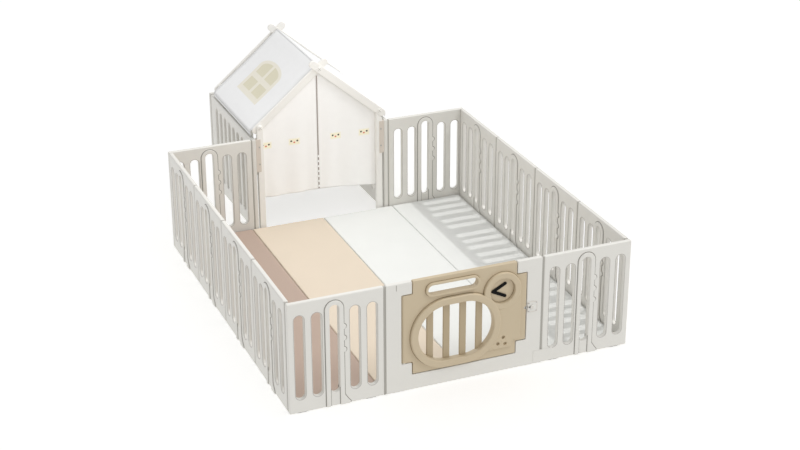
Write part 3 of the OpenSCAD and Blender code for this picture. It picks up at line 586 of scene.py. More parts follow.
def slatted_wall_tree(edges: Tree) -> Tree:
    """A slatted wall by rule: a row of round-ended slots, one of them taller where Tall Slot names it.

    Args:
        edges: Tree that rounds a body's edges.

    Returns:
        The tree.
    """
    tree, given = new_tree(
        "slatted_wall",
        {
            "Geometry": (GEOMETRY, None),
            "Length": (FLOAT, 0.51),
            "Height": (FLOAT, 0.618),
            "Corner Radius": (FLOAT, 0.006),
            "Slot Width": (FLOAT, 0.051),
            "Slot Bottom": (FLOAT, 0.077),
            "Slot Top": (FLOAT, 0.545),
            "First Slot": (FLOAT, 0.062),
            "Slot Pitch": (FLOAT, 0.092),
            "Slot Count": (INT, 5),
            "Tall Slot": (INT, -1),
            "Tall Top": (FLOAT, 0.572),
            "Wide Slat": (FLOAT, 0.0),
            **EDGE_INPUTS,
            "Material": (MATERIAL, None),
        },
    )
    length, height, low = given["Length"], given["Height"], given["Slot Bottom"]
    first, pitch, tall_slot = given["First Slot"], given["Slot Pitch"], given["Tall Slot"]

    def oblong(width: Any, height: Any, radius: Any, steps: int, x: Any, y: Any) -> bpy.types.Node:
        """A rounded oblong outline about (x, y).

        Args:
            width: Its width.
            height: Its height.
            radius: Radius of its corners.
            steps: Steps in each corner.
            x: Its middle along the wall.
            y: Its middle up the wall.

        Returns:
            The node that makes the outline.
        """
        quad = add(tree, QUAD, {"Width": width, "Height": height}, mode="RECTANGLE")
        values = {"Curve": quad, "Radius": radius, "Count": steps, "Limit Radius": True}
        fillet = add(tree, "GeometryNodeFilletCurve", values, mode="POLY")
        return add(tree, MOVE, {"Geometry": fillet, "Translation": add(tree, VECTOR_OF, {0: x, 1: y})})

    def slot(top: Any, x: Any) -> bpy.types.Node:
        """A slot from the common bottom up to the given top, its outline running the other way.

        Args:
            top: Height of its top edge.
            x: Its middle along the wall.

        Returns:
            The node that makes the outline.
        """
        tall = add(tree, MATH, {0: top, 1: low}, operation="SUBTRACT")
        both = add(tree, MATH, {0: top, 1: low}, operation="ADD")
        middle = add(tree, MATH, {0: both, 1: 0.5}, operation="MULTIPLY")
        radius = add(tree, MATH, {0: given["Slot Width"], 1: 0.499}, operation="MULTIPLY")
        shape = oblong(given["Slot Width"], tall, radius, 9, x, middle)
        return add(tree, "GeometryNodeReverseCurve", {"Curve": shape})

    middle_x, middle_y = (add(tree, MATH, {0: size, 1: 0.5}, operation="MULTIPLY") for size in (length, height))
    outer = oblong(length, height, given["Corner Radius"], 5, middle_x, middle_y)
    start, step = (add(tree, VECTOR_OF, {0: size}) for size in (first, pitch))
    values = {"Count": given["Slot Count"], "Start Location": start, "Offset": step}
    row = add(tree, "GeometryNodeMeshLine", values, mode="OFFSET")
    index = add(tree, "GeometryNodeInputIndex")
    after, is_tall = (
        add(tree, COMPARE, {2: index, 3: tall_slot}, data_type="INT", operation=test)
        for test in ("GREATER_THAN", "EQUAL")
    )
    gap = add(tree, VECTOR_OF, {0: add(tree, MATH, {0: given["Wide Slat"], 1: after}, operation="MULTIPLY")})
    spread = add(tree, "GeometryNodeSetPosition", {"Geometry": row, "Offset": gap})
    plain = add(tree, DELETE, {"Geometry": spread, "Selection": is_tall}, domain="POINT")
    slots = add(tree, ON_POINTS, {"Points": plain, "Instance": slot(given["Slot Top"], 0.0)})
    away = add(tree, MATH, {0: pitch, 1: tall_slot}, operation="MULTIPLY")
    tall = slot(given["Tall Top"], add(tree, MATH, {0: first, 1: away}, operation="ADD"))
    none = add(tree, COMPARE, {2: tall_slot, 3: 0}, data_type="INT", operation="LESS_THAN")
    tall_kept = add(tree, DELETE, {"Geometry": tall, "Selection": none}, domain="POINT")
    joined = add(tree, "GeometryNodeJoinGeometry", {0: [outer, slots, tall_kept]})
    outlines = add(tree, "GeometryNodeRealizeInstances", {"Geometry": joined})
    fed = {"Geometry": outlines, **{name: given[name] for name in EDGE_INPUTS}}
    close_tree(tree, add(tree, "GeometryNodeGroup", fed, node_tree=edges), given["Material"])
    return tree


def swept_cord_tree() -> Tree:
    """A cord of oval section along the path on the object itself.

    Returns:
        The tree.
    """
    sizes = {"Width": (FLOAT, 0.004), "Height": (FLOAT, 0.004), "Sides": (INT, 10)}
    sockets = {"Geometry": (GEOMETRY, None), **sizes, "Material": (MATERIAL, None)}
    tree, given = new_tree("swept_cord", sockets)
    ring = add(tree, "GeometryNodeCurvePrimitiveCircle", {"Resolution": given["Sides"], "Radius": 0.5})
    size = add(tree, VECTOR_OF, {0: given["Width"], 1: given["Height"], 2: 1.0})
    section = add(tree, MOVE, {"Geometry": ring, "Scale": size})
    level = add(tree, "GeometryNodeSetCurveNormal", {"Curve": given["Geometry"]}, mode="Z_UP")
    cord = add(tree, SWEEP, {"Curve": level, "Profile Curve": section, "Fill Caps": True})
    smooth = add(tree, "GeometryNodeSetShadeSmooth", {"Geometry": cord, "Shade Smooth": True})
    close_tree(tree, smooth, given["Material"])
    return tree


def stitches_tree() -> Tree:
    """A run of stitches along the path on the object itself, each a short rounded thread.

    Returns:
        The tree.
    """
    sizes = {"Pitch": (FLOAT, 0.008), "Stitch": (FLOAT, 0.0055), "Thread": (FLOAT, 0.0011)}
    sockets = {"Geometry": (GEOMETRY, None), **sizes, "Material": (MATERIAL, None)}
    tree, given = new_tree("stitches", sockets)
    values = {"Curve": given["Geometry"], "Length": given["Pitch"]}
    points = add(tree, "GeometryNodeCurveToPoints", values, mode="LENGTH").outputs
    half, thick = (add(tree, MATH, {0: given[n], 1: 0.5}, operation="MULTIPLY") for n in ("Stitch", "Thread"))
    start = add(tree, VECTOR_OF, {0: add(tree, MATH, {0: half, 1: -1.0}, operation="MULTIPLY")})
    line = add(tree, "GeometryNodeCurvePrimitiveLine", {"Start": start, "End": add(tree, VECTOR_OF, {0: half})})
    ring = add(tree, "GeometryNodeCurvePrimitiveCircle", {"Resolution": 5, "Radius": thick})
    thread = add(tree, SWEEP, {"Curve": line, "Profile Curve": ring, "Fill Caps": True})
    turn = add(tree, "FunctionNodeAlignRotationToVector", {"Vector": points["Tangent"]}, axis="X")
    laid = add(tree, ON_POINTS, {"Points": points["Points"], "Instance": thread, "Rotation": turn})
    close_tree(tree, laid, given["Material"])
    return tree


def set_out_tree() -> Tree:
    """A copy of one part at every point of the object itself.

    Returns:
        The tree.
    """
    sockets = {"Geometry": (GEOMETRY, None), "Part": (OBJECT, None), "Material": (MATERIAL, None)}
    tree, given = new_tree("set_out_parts", sockets)
    part = add(tree, "GeometryNodeObjectInfo", {"Object": given["Part"], "As Instance": True})
    copies = add(tree, ON_POINTS, {"Points": given["Geometry"], "Instance": part.outputs["Geometry"]})
    close_tree(tree, copies, given["Material"])
    return tree


EDGES = round_edges_tree()
ROUNDED_PLATE = rounded_plate_tree(EDGES)
SLATTED_WALL = slatted_wall_tree(EDGES)
SWEPT_CORD = swept_cord_tree()
STITCHES = stitches_tree()
SET_OUT = set_out_tree()


# ---------------------------------------------------------------------------------------------
# Meshes and pieces
# ---------------------------------------------------------------------------------------------


def link(data: Any, name: str) -> Object:
    """A new object on the scene that shows the mesh or curve.

    Args:
        data: Data block the object holds.
        name: Name it gets.

    Returns:
        The new object.
    """
    made = bpy.data.objects.new(name, data)
    bpy.context.scene.collection.objects.link(made)
    return made


def evaluated(holder: Object) -> Mesh:
    """The object's mesh with its modifiers applied. The object is removed.

    Args:
        holder: Object whose modifiers are worked out.

    Returns:
        A plain mesh.
    """
    graph = bpy.context.evaluated_depsgraph_get()
    mesh = bpy.data.meshes.new_from_object(holder.evaluated_get(graph), depsgraph=graph)
    bpy.data.objects.remove(holder)
    return mesh


def grown(data: Any, tree: Tree, values: dict[str, Any]) -> Mesh:
    """Runs a node tree on a mesh or curve.

    Args:
        data: What the tree starts from.
        tree: The tree.
        values: Input name and value.

    Returns:
        The tree's result as a plain mesh.
    """
    holder = link(data, tree.name)
    modifier = holder.modifiers.new(tree.name, "NODES")
    modifier.node_group = tree
    keys = {s.name: s.identifier for s in tree.interface.items_tree if s.in_out == "INPUT"}
    for name, value in values.items():
        modifier[keys[name]] = value
    return evaluated(holder)


def paths(loops: Sequence[Sequence[Sequence[float]]], closed: bool = True) -> bpy.types.Curve:
    """Straight-sided curves through the points of each loop, 2D or 3D.

    Args:
        loops: Point lists, one per line.
        closed: Whether each line closes on itself.

    Returns:
        A curve of straight runs.
    """
    curve = bpy.data.curves.new("path", "CURVE")
    curve.dimensions = "3D"
    for loop in loops:
        spline = curve.splines.new("POLY")
        spline.points.add(len(loop) - 1)
        spline.use_cyclic_u = closed
        for point, place in zip(spline.points, loop):
            point.co = (*place[:2], place[2] if len(place) > 2 else 0.0, 1.0)
    return curve


def cleaned(loop: Sequence[Point]) -> Loop:
    """The outline with no two neighbouring points in one place."""
    return [p for i, p in enumerate(loop) if math.dist(p, loop[i - 1]) > 2e-5]


def plate(
    outer: Sequence[Loop], holes: Sequence[Loop], depth: float, edge: float, finish: Finish, steps: int = 4
) -> Mesh:
    """A plate that stands upright, front face at Y = 0 and back face at Y = depth.

    Args:
        outer: Anticlockwise outlines.
        holes: Anticlockwise outlines of the openings.
        depth: Thickness.
        edge: Radius of the rounded edges.
        finish: What it is made of.
        steps: Steps in a rounded edge.

    Returns:
        The mesh.
    """
    loops = [cleaned(o) for o in outer] + [list(reversed(cleaned(h))) for h in holes]
    values = {"Thickness": depth, "Edge Radius": edge, "Edge Steps": steps, "Material": finish.material()}
    mesh = grown(paths(loops), ROUNDED_PLATE, values)
    mesh.transform(UPRIGHT)
    return mesh


def crease(
    loops: Sequence[Loop], finish: Finish, width: float = 0.0032, height: float = 0.0012, closed: bool = True
) -> Mesh:
    """A dark cord of painted shade where a raised form meets its plate, on an upright plate's front face at Y = 0.

    Args:
        loops: Point lists, one per line.
        finish: Finish it is made of.
        width: Width in metres.
        height: Height in metres.
        closed: Whether each line closes on itself.

    Returns:
        The line as a mesh.
    """
    values = {"Width": width, "Height": height, "Sides": 8, "Material": finish.material()}
    mesh = grown(paths(loops, closed), SWEPT_CORD, values)
    mesh.transform(UPRIGHT)
    return mesh


def cut_out(mesh: Mesh, lo: Sequence[float], hi: Sequence[float]) -> Mesh:
    """The mesh with an oblong pocket cut out of it.

    Args:
        mesh: A closed mesh.
        lo: The pocket's lowest corner.
        hi: The pocket's highest corner.

    Returns:
        The cut mesh.
    """
    bm = bmesh.new()
    bmesh.ops.create_cube(bm, size=1.0)
    for vert in bm.verts:
        vert.co = [a + (b - a) * (c + 0.5) for a, b, c in zip(lo, hi, vert.co)]
    cutter_mesh = bpy.data.meshes.new("pocket")
    bm.to_mesh(cutter_mesh)
    bm.free()
    cutter, holder = link(cutter_mesh, "pocket"), link(mesh, "cut")
    boolean = holder.modifiers.new("pocket", "BOOLEAN")
    boolean.operation = "DIFFERENCE"
    boolean.solver = "EXACT"
    boolean.object = cutter
    made = evaluated(holder)
    bpy.data.objects.remove(cutter)
    return made


def moved(mesh: Mesh, *steps: Matrix) -> Mesh:
    """The mesh with the matrices applied, the last one first.

    Args:
        mesh: Mesh to work on.
        *steps: Matrices, the last one applied first.

    Returns:
        The same mesh.
    """
    whole = Matrix.Identity(4)
    for step in steps:
        whole = whole @ step
    mesh.transform(whole)
    return mesh


def at(x: float, y: float, z: float) -> Matrix:
    """A move."""
    return Matrix.Translation((x, y, z))


def spun(degrees: float) -> Matrix:
    """A turn about Z."""
    return Matrix.Rotation(math.radians(degrees), 4, "Z")


def one_mesh(parts: Sequence[Mesh]) -> Mesh:
    """The parts joined into one mesh, each with its own material.

    Args:
        parts: Meshes to join.

    Returns:
        One mesh with every part's materials.
    """
    first, *rest = [link(p, "part") for p in parts]
    if rest:
        with bpy.context.temp_override(
            active_object=first, object=first, selected_objects=[first, *rest], selected_editable_objects=[first, *rest]
        ):
            bpy.ops.object.join()
    mesh = first.data
    bpy.data.objects.remove(first)
    return mesh


def weighted(mesh: Mesh) -> Mesh:
    """The mesh with normals that keep its flat faces flat and its rounded edges round.

    Args:
        mesh: Mesh to work on.

    Returns:
        A new mesh.
    """
    holder = link(mesh, "weighted")
    holder.modifiers.new("normals", "WEIGHTED_NORMAL").weight = 80
    return evaluated(holder)


def piece(
    name: str,
    parts: Sequence[Mesh],
    body: Body,
    slot: str,
    replaces: Sequence[str] = (),
    flat: bool = True,
) -> Object:
    """Puts one finished piece on its body.

    Args:
        name: Name of the piece.
        parts: Its meshes, in the shared frame.
        body: The body that it rides on.
        slot: Name of a material slot; not used.
        replaces: CAD nodes that it stands for.
        flat: Whether it has flat faces that its normals keep flat.

    Returns:
        The object.
    """
    mesh = one_mesh(parts)
    made = link(weighted(mesh) if flat else mesh, name)
    made.data.name = name
    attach(made, body.value)
    if replaces:
        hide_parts(*replaces)
    LOG.info("%s: %d faces on %s", name, len(made.data.polygons), body.value)
    return made


def dressed(node: str, finish: Finish) -> None:
    """Gives a carried-over CAD node its finish.

    Args:
        node: Name of the CAD node.
        finish: Finish it is made of.
    """
    shown = frame["nodes"][node]
    shown.data.materials.clear()
    shown.data.materials.append(finish.material())
    LOG.info("%s: CAD node in %s", node, finish.name)


def points_mesh(points: Sequence[Sequence[float]]) -> Mesh:
    """Loose points, for parts to be set out on.

    Args:
        points: Places in metres.

    Returns:
        A mesh of bare points.
    """
    mesh = bpy.data.meshes.new("points")
    mesh.from_pydata([tuple(p) for p in points], [], [])
    return mesh


def set_out(part: Mesh, points: Sequence[Sequence[float]], finish: Finish) -> Mesh:
    """Copies of a part at each point, by node tree.

    Args:
        part: Mesh that is repeated.
        points: Places in metres.
        finish: Finish it is made of.

    Returns:
        The repeated parts as one mesh.
    """
    source = link(part, "part_to_set_out")
    mesh = grown(points_mesh(points), SET_OUT, {"Part": source, "Material": finish.material()})
    bpy.data.objects.remove(source)
    return mesh


def lathed(profile: Sequence[Point], finish: Finish, sides: int = 32) -> Mesh:
    """A turned part about the Y axis.

    Args:
        profile: (radius, y) points from the axis at the front to the axis at the back.
        finish: What it is made of.
        sides: Steps round it.

    Returns:
        The mesh, closed and facing outwards.
    """
    bm = bmesh.new()
    rings = []
    for radius, y in profile:
        if radius < 1e-6:
            rings.append([bm.verts.new((0, y, 0))])
            continue
        angles = [2 * math.pi * k / sides for k in range(sides)]
        rings.append([bm.verts.new((radius * math.cos(a), y, radius * math.sin(a))) for a in angles])
    for a, b in zip(rings, rings[1:]):
        for k in range(sides):
            j = (k + 1) % sides
            corners = [a[k % len(a)], a[j % len(a)], b[j % len(b)], b[k % len(b)]]
            bm.faces.new(list(dict.fromkeys(corners)))
    bmesh.ops.recalc_face_normals(bm, faces=bm.faces)
    for f in bm.faces:
        f.smooth = True
    mesh = bpy.data.meshes.new("lathed")
    bm.to_mesh(mesh)
    bm.free()
    mesh.materials.append(finish.material())
    return mesh


def placed(mesh: Mesh) -> Mesh:
    """A copy of the mesh, so that the first stays where it is."""
    return mesh.copy()


def low(node: str) -> Vector:
    """Lowest corner of a CAD node."""
    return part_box(node)[0]


def high(node: str) -> Vector:
    """Highest corner of a CAD node."""
    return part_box(node)[1]


# ---------------------------------------------------------------------------------------------
# Pen walls
# ---------------------------------------------------------------------------------------------


class Facing(Enum):
    """How a wall stands: its own x axis along +X, or along -Y with its front face to -X, or along +Y."""

    FORWARD = 0
    LEFTWARD = -90
    RIGHTWARD = 90


@dataclass
class PenWalls:
    """The twelve standard panels of the pen and the three walls of the house."""

    relief: float = 0.002
    thick: float = 0.025
    slot: float = 0.051
    margin: float = 0.062
    wide: float = 0.018
    top_rail: float = 0.073
    arch_rail: float = 0.046
    bottom_rail: float = 0.077
    band: float = 0.024
    leaf: float = 0.014
    leaf_pitch: float = 0.065
    leaf_drop: float = 0.175
    flare: float = 0.031
    flare_rise: float = 0.056
    edge: float = 0.0065
    proud: float = 0.0052
    house_pitch: float = 0.089
    house_slots: int = 8
    house_rail: float = 0.058
    panels: dict[str, Facing] = field(default_factory=dict)

    def __post_init__(self) -> None:
        """Lists the standard panels and how each stands."""
        for name in ("front_left_panel", "front_right_panel", "back_left_panel", "back_right_panel"):
            self.panels[name] = Facing.FORWARD
        for side in ("left", "right"):
            for number in range(1, 5):
                self.panels[f"{side}_panel_{number}"] = Facing.LEFTWARD
        lo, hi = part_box("front_left_panel")
        self.length = hi.x - lo.x
        self.height = hi.z - lo.z
        self.pitch = (self.length - 2 * self.margin - self.wide) / 4
        self.arch_x = self.margin + 2 * self.pitch

    def wall(self, values: dict[str, Any]) -> Mesh:
        """One slatted plate, standing up, from the rule.

        Args:
            values: Input names of the wall tree with their values.

        Returns:
            The wall as a mesh.
        """
        common = {
            "Height": self.height,
            "Thickness": self.thick,
            "Slot Width": self.slot,
            "Slot Bottom": self.bottom_rail,
            "Edge Radius": self.edge,
            "Material": SHELL.material(),
        }
        mesh = grown(bpy.data.meshes.new("seed"), SLATTED_WALL, {**common, **values})
        mesh.transform(UPRIGHT)
        return mesh

    def arch_edge(self, out: float) -> Loop:
        """The arch's outer edge from its flared foot on the right, over the top and down on the left.

        Args:
            out: How far outside the arch's edge the line runs.

        Returns:
            The outline.
        """
        outer = self.slot / 2 + self.band + out
        crown = self.height - self.arch_rail - self.slot / 2
        edge: Loop = [(self.flare + outer, 0.0), (self.flare + outer, self.flare_rise * 0.2)]
        edge += [(outer + self.flare * 0.5, self.flare_rise * 0.55), (outer, self.flare_rise)]
        for k in (2, 1, 0):
            z = self.height - self.leaf_drop - k * self.leaf_pitch
            edge += arc(outer - self.leaf * 0.12, z, self.leaf, -83, 83, 12)
        return edge + arc(0, crown, outer, 0, 180, 20) + [(-outer, 0.0)]

    def arch(self) -> list[Mesh]:
        """The raised arch with its two legs, three leaf bumps and flared foot, and dark lines of painted shade along
        its edges and round its plain slots.

        Returns:
            The relief and its lines.
        """
        inner = self.slot / 2
        crown = self.height - self.arch_rail - inner
        loop = self.arch_edge(0.0) + [(-inner, 0.0), *arc(0, crown, inner, 180, 0, 16), (inner, 0.0)]
        shape = [(x + self.arch_x, z) for x, z in softened(loop, 0.006, 4)]
        sunk = 0.0015
        mesh = plate([shape], [], self.proud + sunk, 0.0032, SHELL, 4)
        # Dark grey cords of painted shade along the arch's outer edge and down both legs.
        lines = [[(x + self.arch_x, max(z, 0.004)) for x, z in self.arch_edge(0.0021)]]
        foot = self.bottom_rail + inner
        for x in (-inner + 0.0010, inner - 0.0010):
            lines.append([(x + self.arch_x, 0.004), (x + self.arch_x, foot)])
        # Mid grey rings of painted shade round the four plain slots.
        slot_shade_loops = []
        out, low_z = 0.0040, self.bottom_rail
        for k in range(5):
            x = self.margin + k * self.pitch + (self.wide if k > 2 else 0.0)
            high_z = self.height - (self.arch_rail if k == 2 else self.top_rail)
            if k != 2:
                slot_shade_loops.append(pill(x, (low_z + high_z) / 2, inner + out, (high_z - low_z) / 2 + out, 10))
        rim = crease(slot_shade_loops, SHELL_SLOT_SHADE, 0.0022, 0.0012)
        line = crease(lines, SHELL_SHADE_LINE, 0.0042, 0.0016, False)
        return [moved(mesh, at(0, -self.proud, 0)), one_mesh([line, rim])]

    def standard(self) -> Mesh:
        """One standard panel in its own frame, with the motif on both faces.

        Returns:
            The panel as a mesh.
        """
        board = self.wall(
            {
                "Length": self.length,
                "Slot Top": self.height - self.top_rail,
                "First Slot": self.margin,
                "Slot Pitch": self.pitch,
                "Slot Count": 5,
                "Tall Slot": 2,
                "Tall Top": self.height - self.arch_rail,
                "Wide Slat": self.wide,
            }
        )
        front = self.arch()
        back = [placed(part) for part in front]
        moved(back[0], at(0, self.thick + self.proud - 0.0015, 0))
        moved(back[1], at(0, self.thick, 0))
        return one_mesh([board, *front, *back])

    def house_wall(self, length: float) -> Mesh:
        """One wall of the house in its own frame.

        Args:
            length: Length of the wall.

        Returns:
            The wall as a mesh.
        """
        return self.wall(
            {
                "Length": length,
                "Slot Top": self.height - self.house_rail,
                "First Slot": (length - (self.house_slots - 1) * self.house_pitch) / 2,
                "Slot Pitch": self.house_pitch,
                "Slot Count": self.house_slots,
            }
        )

    @staticmethod
    def stand(name: str, facing: Facing, relief: float) -> Matrix:
        """Where a wall's own frame goes, from its CAD box.

        Args:
            name: Name of its CAD node.
            facing: How it stands.
            relief: How far its relief stands out of the wall.

        Returns:
            Matrix that stands it in its place.
        """
        lo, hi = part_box(name)
        if facing is Facing.FORWARD:
            return at(lo.x, lo.y + relief, lo.z)
        if facing is Facing.LEFTWARD:
            return at(lo.x + relief, hi.y, lo.z) @ spun(-90)
        return at(hi.x - relief, lo.y, lo.z) @ spun(90)

    def build(self) -> None:
        """Builds every wall and dresses the links and grips."""
        pattern = self.standard()
        for name, facing in self.panels.items():
            mesh = moved(placed(pattern), self.stand(name, facing, self.relief))
            piece(name + "_moulding", [mesh], Body.PEN, "panel_plastic", [name])
        sides = {
            "house_left_wall": Facing.LEFTWARD,
            "house_right_wall": Facing.RIGHTWARD,
            "house_rear_wall": Facing.FORWARD,
        }
        for name, facing in sides.items():
            lo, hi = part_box(name)
            mesh = self.house_wall(max(hi.x - lo.x, hi.y - lo.y))
            piece(name + "_moulding", [moved(mesh, self.stand(name, facing, 0))], Body.PEN, "panel_plastic", [name])
        for name in ("straight_links", "corner_links", "house_links"):
            dressed(name, LINK)
        dressed("floor_grips", RUBBER)


# ---------------------------------------------------------------------------------------------
# Gate
# ---------------------------------------------------------------------------------------------


@dataclass
class Gate:
    """The gate's frame, its door with the oval grille and round boss, its hinge and its latch."""

    gap: float = 0.0045
    thick: float = 0.025
    door_half: float = 0.2895
    door_low: float = 0.092
    tab_half: float = 0.347
    tab_low: float = 0.162
    tab_high: float = 0.547
    oval: Point = (-0.053, 0.2985)
    oval_half: float = 0.211
    oval_rise: float = 0.1575
    oval_band: float = 0.0415
    handle: Point = (-0.0715, 0.555)
    handle_half: float = 0.1375
    handle_rise: float = 0.026
    handle_rim: float = 0.0125
    boss: Point = (0.206, 0.475)
    boss_radius: float = 0.104
    dish_radius: float = 0.070
    dish_floor: float = 0.003
    field_low: float = 0.142
    field_step: float = 0.040
    dimples: tuple[Point, ...] = ((0.215, 0.204), (0.185, 0.171), (0.226, 0.165))
    dimple_radius: float = 0.0090
    bar_width: float = 0.036
    bar_depth: float = 0.014
    bars: int = 4
    brow_half: float = 0.0085
    brow_arm: float = 0.078
    brow_turn: float = 27.0
    brow_left: float = 0.052
    notch: float = 0.009
    latch_z: float = 0.345

    def __post_init__(self) -> None:
        """Reads the gate's place and height from the frame."""
        lo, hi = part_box("gate_frame")
        self.front = lo.y
        self.half = (hi.x - lo.x) / 2
        self.foot = lo.z
        self.top = hi.z
        self.here = at(0, self.front, 0)

    def frame_loop(self) -> Loop:
        """Outline of the U-shaped frame.

        Returns:
            The outline.
        """
        body, tab = self.door_half + self.gap, self.tab_half + self.gap
        right = [
            (self.half, self.foot),
            (self.half, self.top),
            (body, self.top),
            (body, self.tab_high + self.gap),
            (tab, self.tab_high + self.gap),
            (tab, self.tab_low - self.gap),
            (body, self.tab_low - self.gap),
            (body, self.door_low - self.gap),
        ]
        return softened(right + mirrored(right), 0.006, 4)

    def build_frame(self) -> None:
        """Builds the frame with the moulded cover of its foot joint."""
        mesh = self.pocketed(plate([self.frame_loop()], [], self.thick, 0.003, SHELL))
        left, right, high_edge = self.half - 0.039, self.half + 0.074, self.foot + 0.077
        cover_loop = softened([(left, 0.006), (right, 0.006), (right, high_edge), (left, high_edge)], 0.004, 3)
        cover = moved(plate([cover_loop], [], 0.0045, 0.0015, SHELL, 3), at(0, -0.002, 0))
        # The slit is a thin grey plate on the frame's face, not a cut: its grey is painted shade in place of the slit's
        # hollow.
        slit_shade = plate([pill(-self.half + 0.056, self.top - 0.022, 0.0022, 0.0165, 4)], [], 0.001, 0.0003, LINK, 2)
        parts = [moved(mesh, self.here), moved(cover, self.here), moved(slit_shade, at(0, -0.0005, 0), self.here)]
        piece("gate_frame_moulding", parts, Body.PEN, "panel_plastic", ["gate_frame"])

    def pocketed(self, mesh: Mesh) -> Mesh:
        """The plate with the latch bolt's channel and the stem's slot cut out of it.

        Args:
            mesh: Mesh to work on.

        Returns:
            The mesh with the latch's pocket cut out.
        """
        lo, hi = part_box("latch_bolt")
        knob_lo, knob_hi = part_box("latch_knob")
        room, travel = 0.0008, 0.015
        channel_lo = (lo.x - travel, lo.y - room - self.front, lo.z - room)
        cut = cut_out(mesh, channel_lo, (hi.x + room, hi.y + room - self.front, hi.z + room))
        middle, half = (knob_lo.x + knob_hi.x) / 2, 0.006
        slot_lo = (middle - half - travel, -0.01, (lo.z + hi.z) / 2 - half)
        return cut_out(cut, slot_lo, (middle + half, (lo.y + hi.y) / 2 - self.front, (lo.z + hi.z) / 2 + half))

    def door_loop(self) -> Loop:
        """Outline of the door with its tabs and the finger notch at the latch.

        Returns:
            The outline.
        """
        barrel = self.tab_half - self.thick / 2
        half, tab, n = self.door_half, self.tab_half, self.notch
        loop = [(-half, self.door_low), (half, self.door_low), (half, self.tab_low), (tab, self.tab_low)]
        loop += [(tab, self.latch_z - n), (tab - n, self.latch_z), (tab, self.latch_z + n)]
        loop += [(tab, self.tab_high), (half, self.tab_high), (half, self.top), (-half, self.top)]
        loop += [(-half, self.tab_high), (-barrel, self.tab_high), (-barrel, self.tab_low), (-half, self.tab_low)]
        return softened(loop, 0.005, 3)

    def ring(self) -> Mesh:
        """The thick rounded ring round the oval.

        Returns:
            The ring as a mesh.
        """
        x, z = self.oval
        outer = pill(x, z, self.oval_half + self.oval_band, self.oval_rise + self.oval_band, 28)
        inner = pill(x, z, self.oval_half, self.oval_rise, 28)
        proud = 0.018
        mesh = plate([outer], [inner], self.thick + proud - 0.0002, 0.0085, SAND, 7)
        return moved(mesh, at(0, -proud, 0))

    def shade_lines(self) -> Mesh:
        """Dark lines of painted shade round the ring, the handle's rim, the boss and its dish.

        Returns:
            The lines as a mesh.
        """
        x, z = self.oval
        out = 0.0010
        ring = pill(x, z, self.oval_half + self.oval_band + out, self.oval_rise + self.oval_band + out, 28)
        hx, hz = self.handle
        rim = self.handle_rim + out
        handle = pill(hx, hz, self.handle_half + rim, self.handle_rise + rim, 16)
        boss = disc(*self.boss, self.boss_radius + out, 64)
        dish = disc(*self.boss, self.dish_radius - out, 56)
        outer = crease([ring, handle, boss], SAND_SHADE_LINE, 0.0036, 0.0016)
        return one_mesh([outer, moved(crease([dish], SAND_SHADE_LINE, 0.0026, 0.0012), at(0, self.dish_floor, 0))])

    def handle_ring(self) -> Mesh:
        """The rounded rim of the handle slot.

        Returns:
            The rim as a mesh.
        """
        x, z = self.handle
        outer = pill(x, z, self.handle_half + self.handle_rim, self.handle_rise + self.handle_rim, 16)
        inner = pill(x, z, self.handle_half, self.handle_rise, 16)
        proud = 0.0125
        mesh = plate([outer], [inner], self.thick + proud - 0.0002, 0.0040, SAND, 5)
        return moved(mesh, at(0, -proud, 0))

    def boss_parts(self) -> list[Mesh]:
        """The round boss: its rim, and the dish's floor behind it.

        Returns:
            The boss and its dish.
        """
        x, z = self.boss
        proud = 0.016
        rim = plate(
            [disc(x, z, self.boss_radius, 64)],
            [disc(x, z, self.dish_radius, 56)],
            self.thick + proud - 0.0002,
            0.0065,
            SAND,
            6,
        )
        floor = plate([disc(x, z, self.dish_radius + 0.006, 48)], [], 0.02, 0.001, SAND, 2)
        return [moved(rim, at(0, -proud, 0)), moved(floor, at(0, self.dish_floor, 0))]

    def field_part(self) -> Mesh:
        """The raised field beside the oval, with three round dimples and a dark line of painted shade round its edge.

        Returns:
            The raised field as a mesh.
        """
        bx, bz = self.boss
        x, z = self.oval
        ring_x = x + self.oval_half - self.oval_rise
        cut, grown_by = (self.boss_radius + self.dish_radius) / 2, 0.020
        right = bx + self.boss_radius
        to_ring = math.degrees(math.atan2(z - bz, ring_x - bx))
        radius = self.oval_rise + grown_by
        low_angle = -math.degrees(math.asin((z - self.field_low) / radius))
        loop = [(right - self.field_step, self.field_low), (right - self.field_step, self.field_low + self.field_step)]
        loop += [(right, self.field_low + self.field_step), (right, bz)]
        loop += arc(bx, bz, cut, 0, to_ring, 20)
        loop += arc(ring_x, z, radius, to_ring + 180, low_angle, 20)
        holes = [disc(px, pz, self.dimple_radius, 20) for px, pz in self.dimples]
        # A dark cord of painted shade round the field's edge.
        line = crease([softened(loop, 0.014, 6)], SAND_SHADE_LINE, 0.0036, 0.0016)
        proud, sunk = 0.0115, 0.003
        mesh = plate([softened(loop, 0.014, 6)], holes, proud + sunk, 0.0040, SAND, 5)
        return one_mesh([moved(mesh, at(0, -proud, 0)), line])

    def bar_row(self) -> Mesh:
        """The upright bars of the grille, set out by rule.

        Returns:
            The bars as a mesh.
        """
        x, z = self.oval
        tall = self.oval_rise + 0.001
        half = self.bar_width / 2
        loop = softened([(-half, -tall), (half, -tall), (half, tall), (-half, tall)], 0.004, 3)
        # The bars' darker finish is painted shade: they stand back behind the ring.
        bar = plate([loop], [], self.bar_depth, 0.004, SAND_PAINTED_SHADE)
        pitch = (2 * self.oval_half + self.bar_width) / (self.bars + 1)
        first = x - self.oval_half - half
        back = self.thick - self.bar_depth - 0.002
        return set_out(bar, [(first + k * pitch, back, z) for k in range(1, self.bars + 1)], SAND_PAINTED_SHADE)

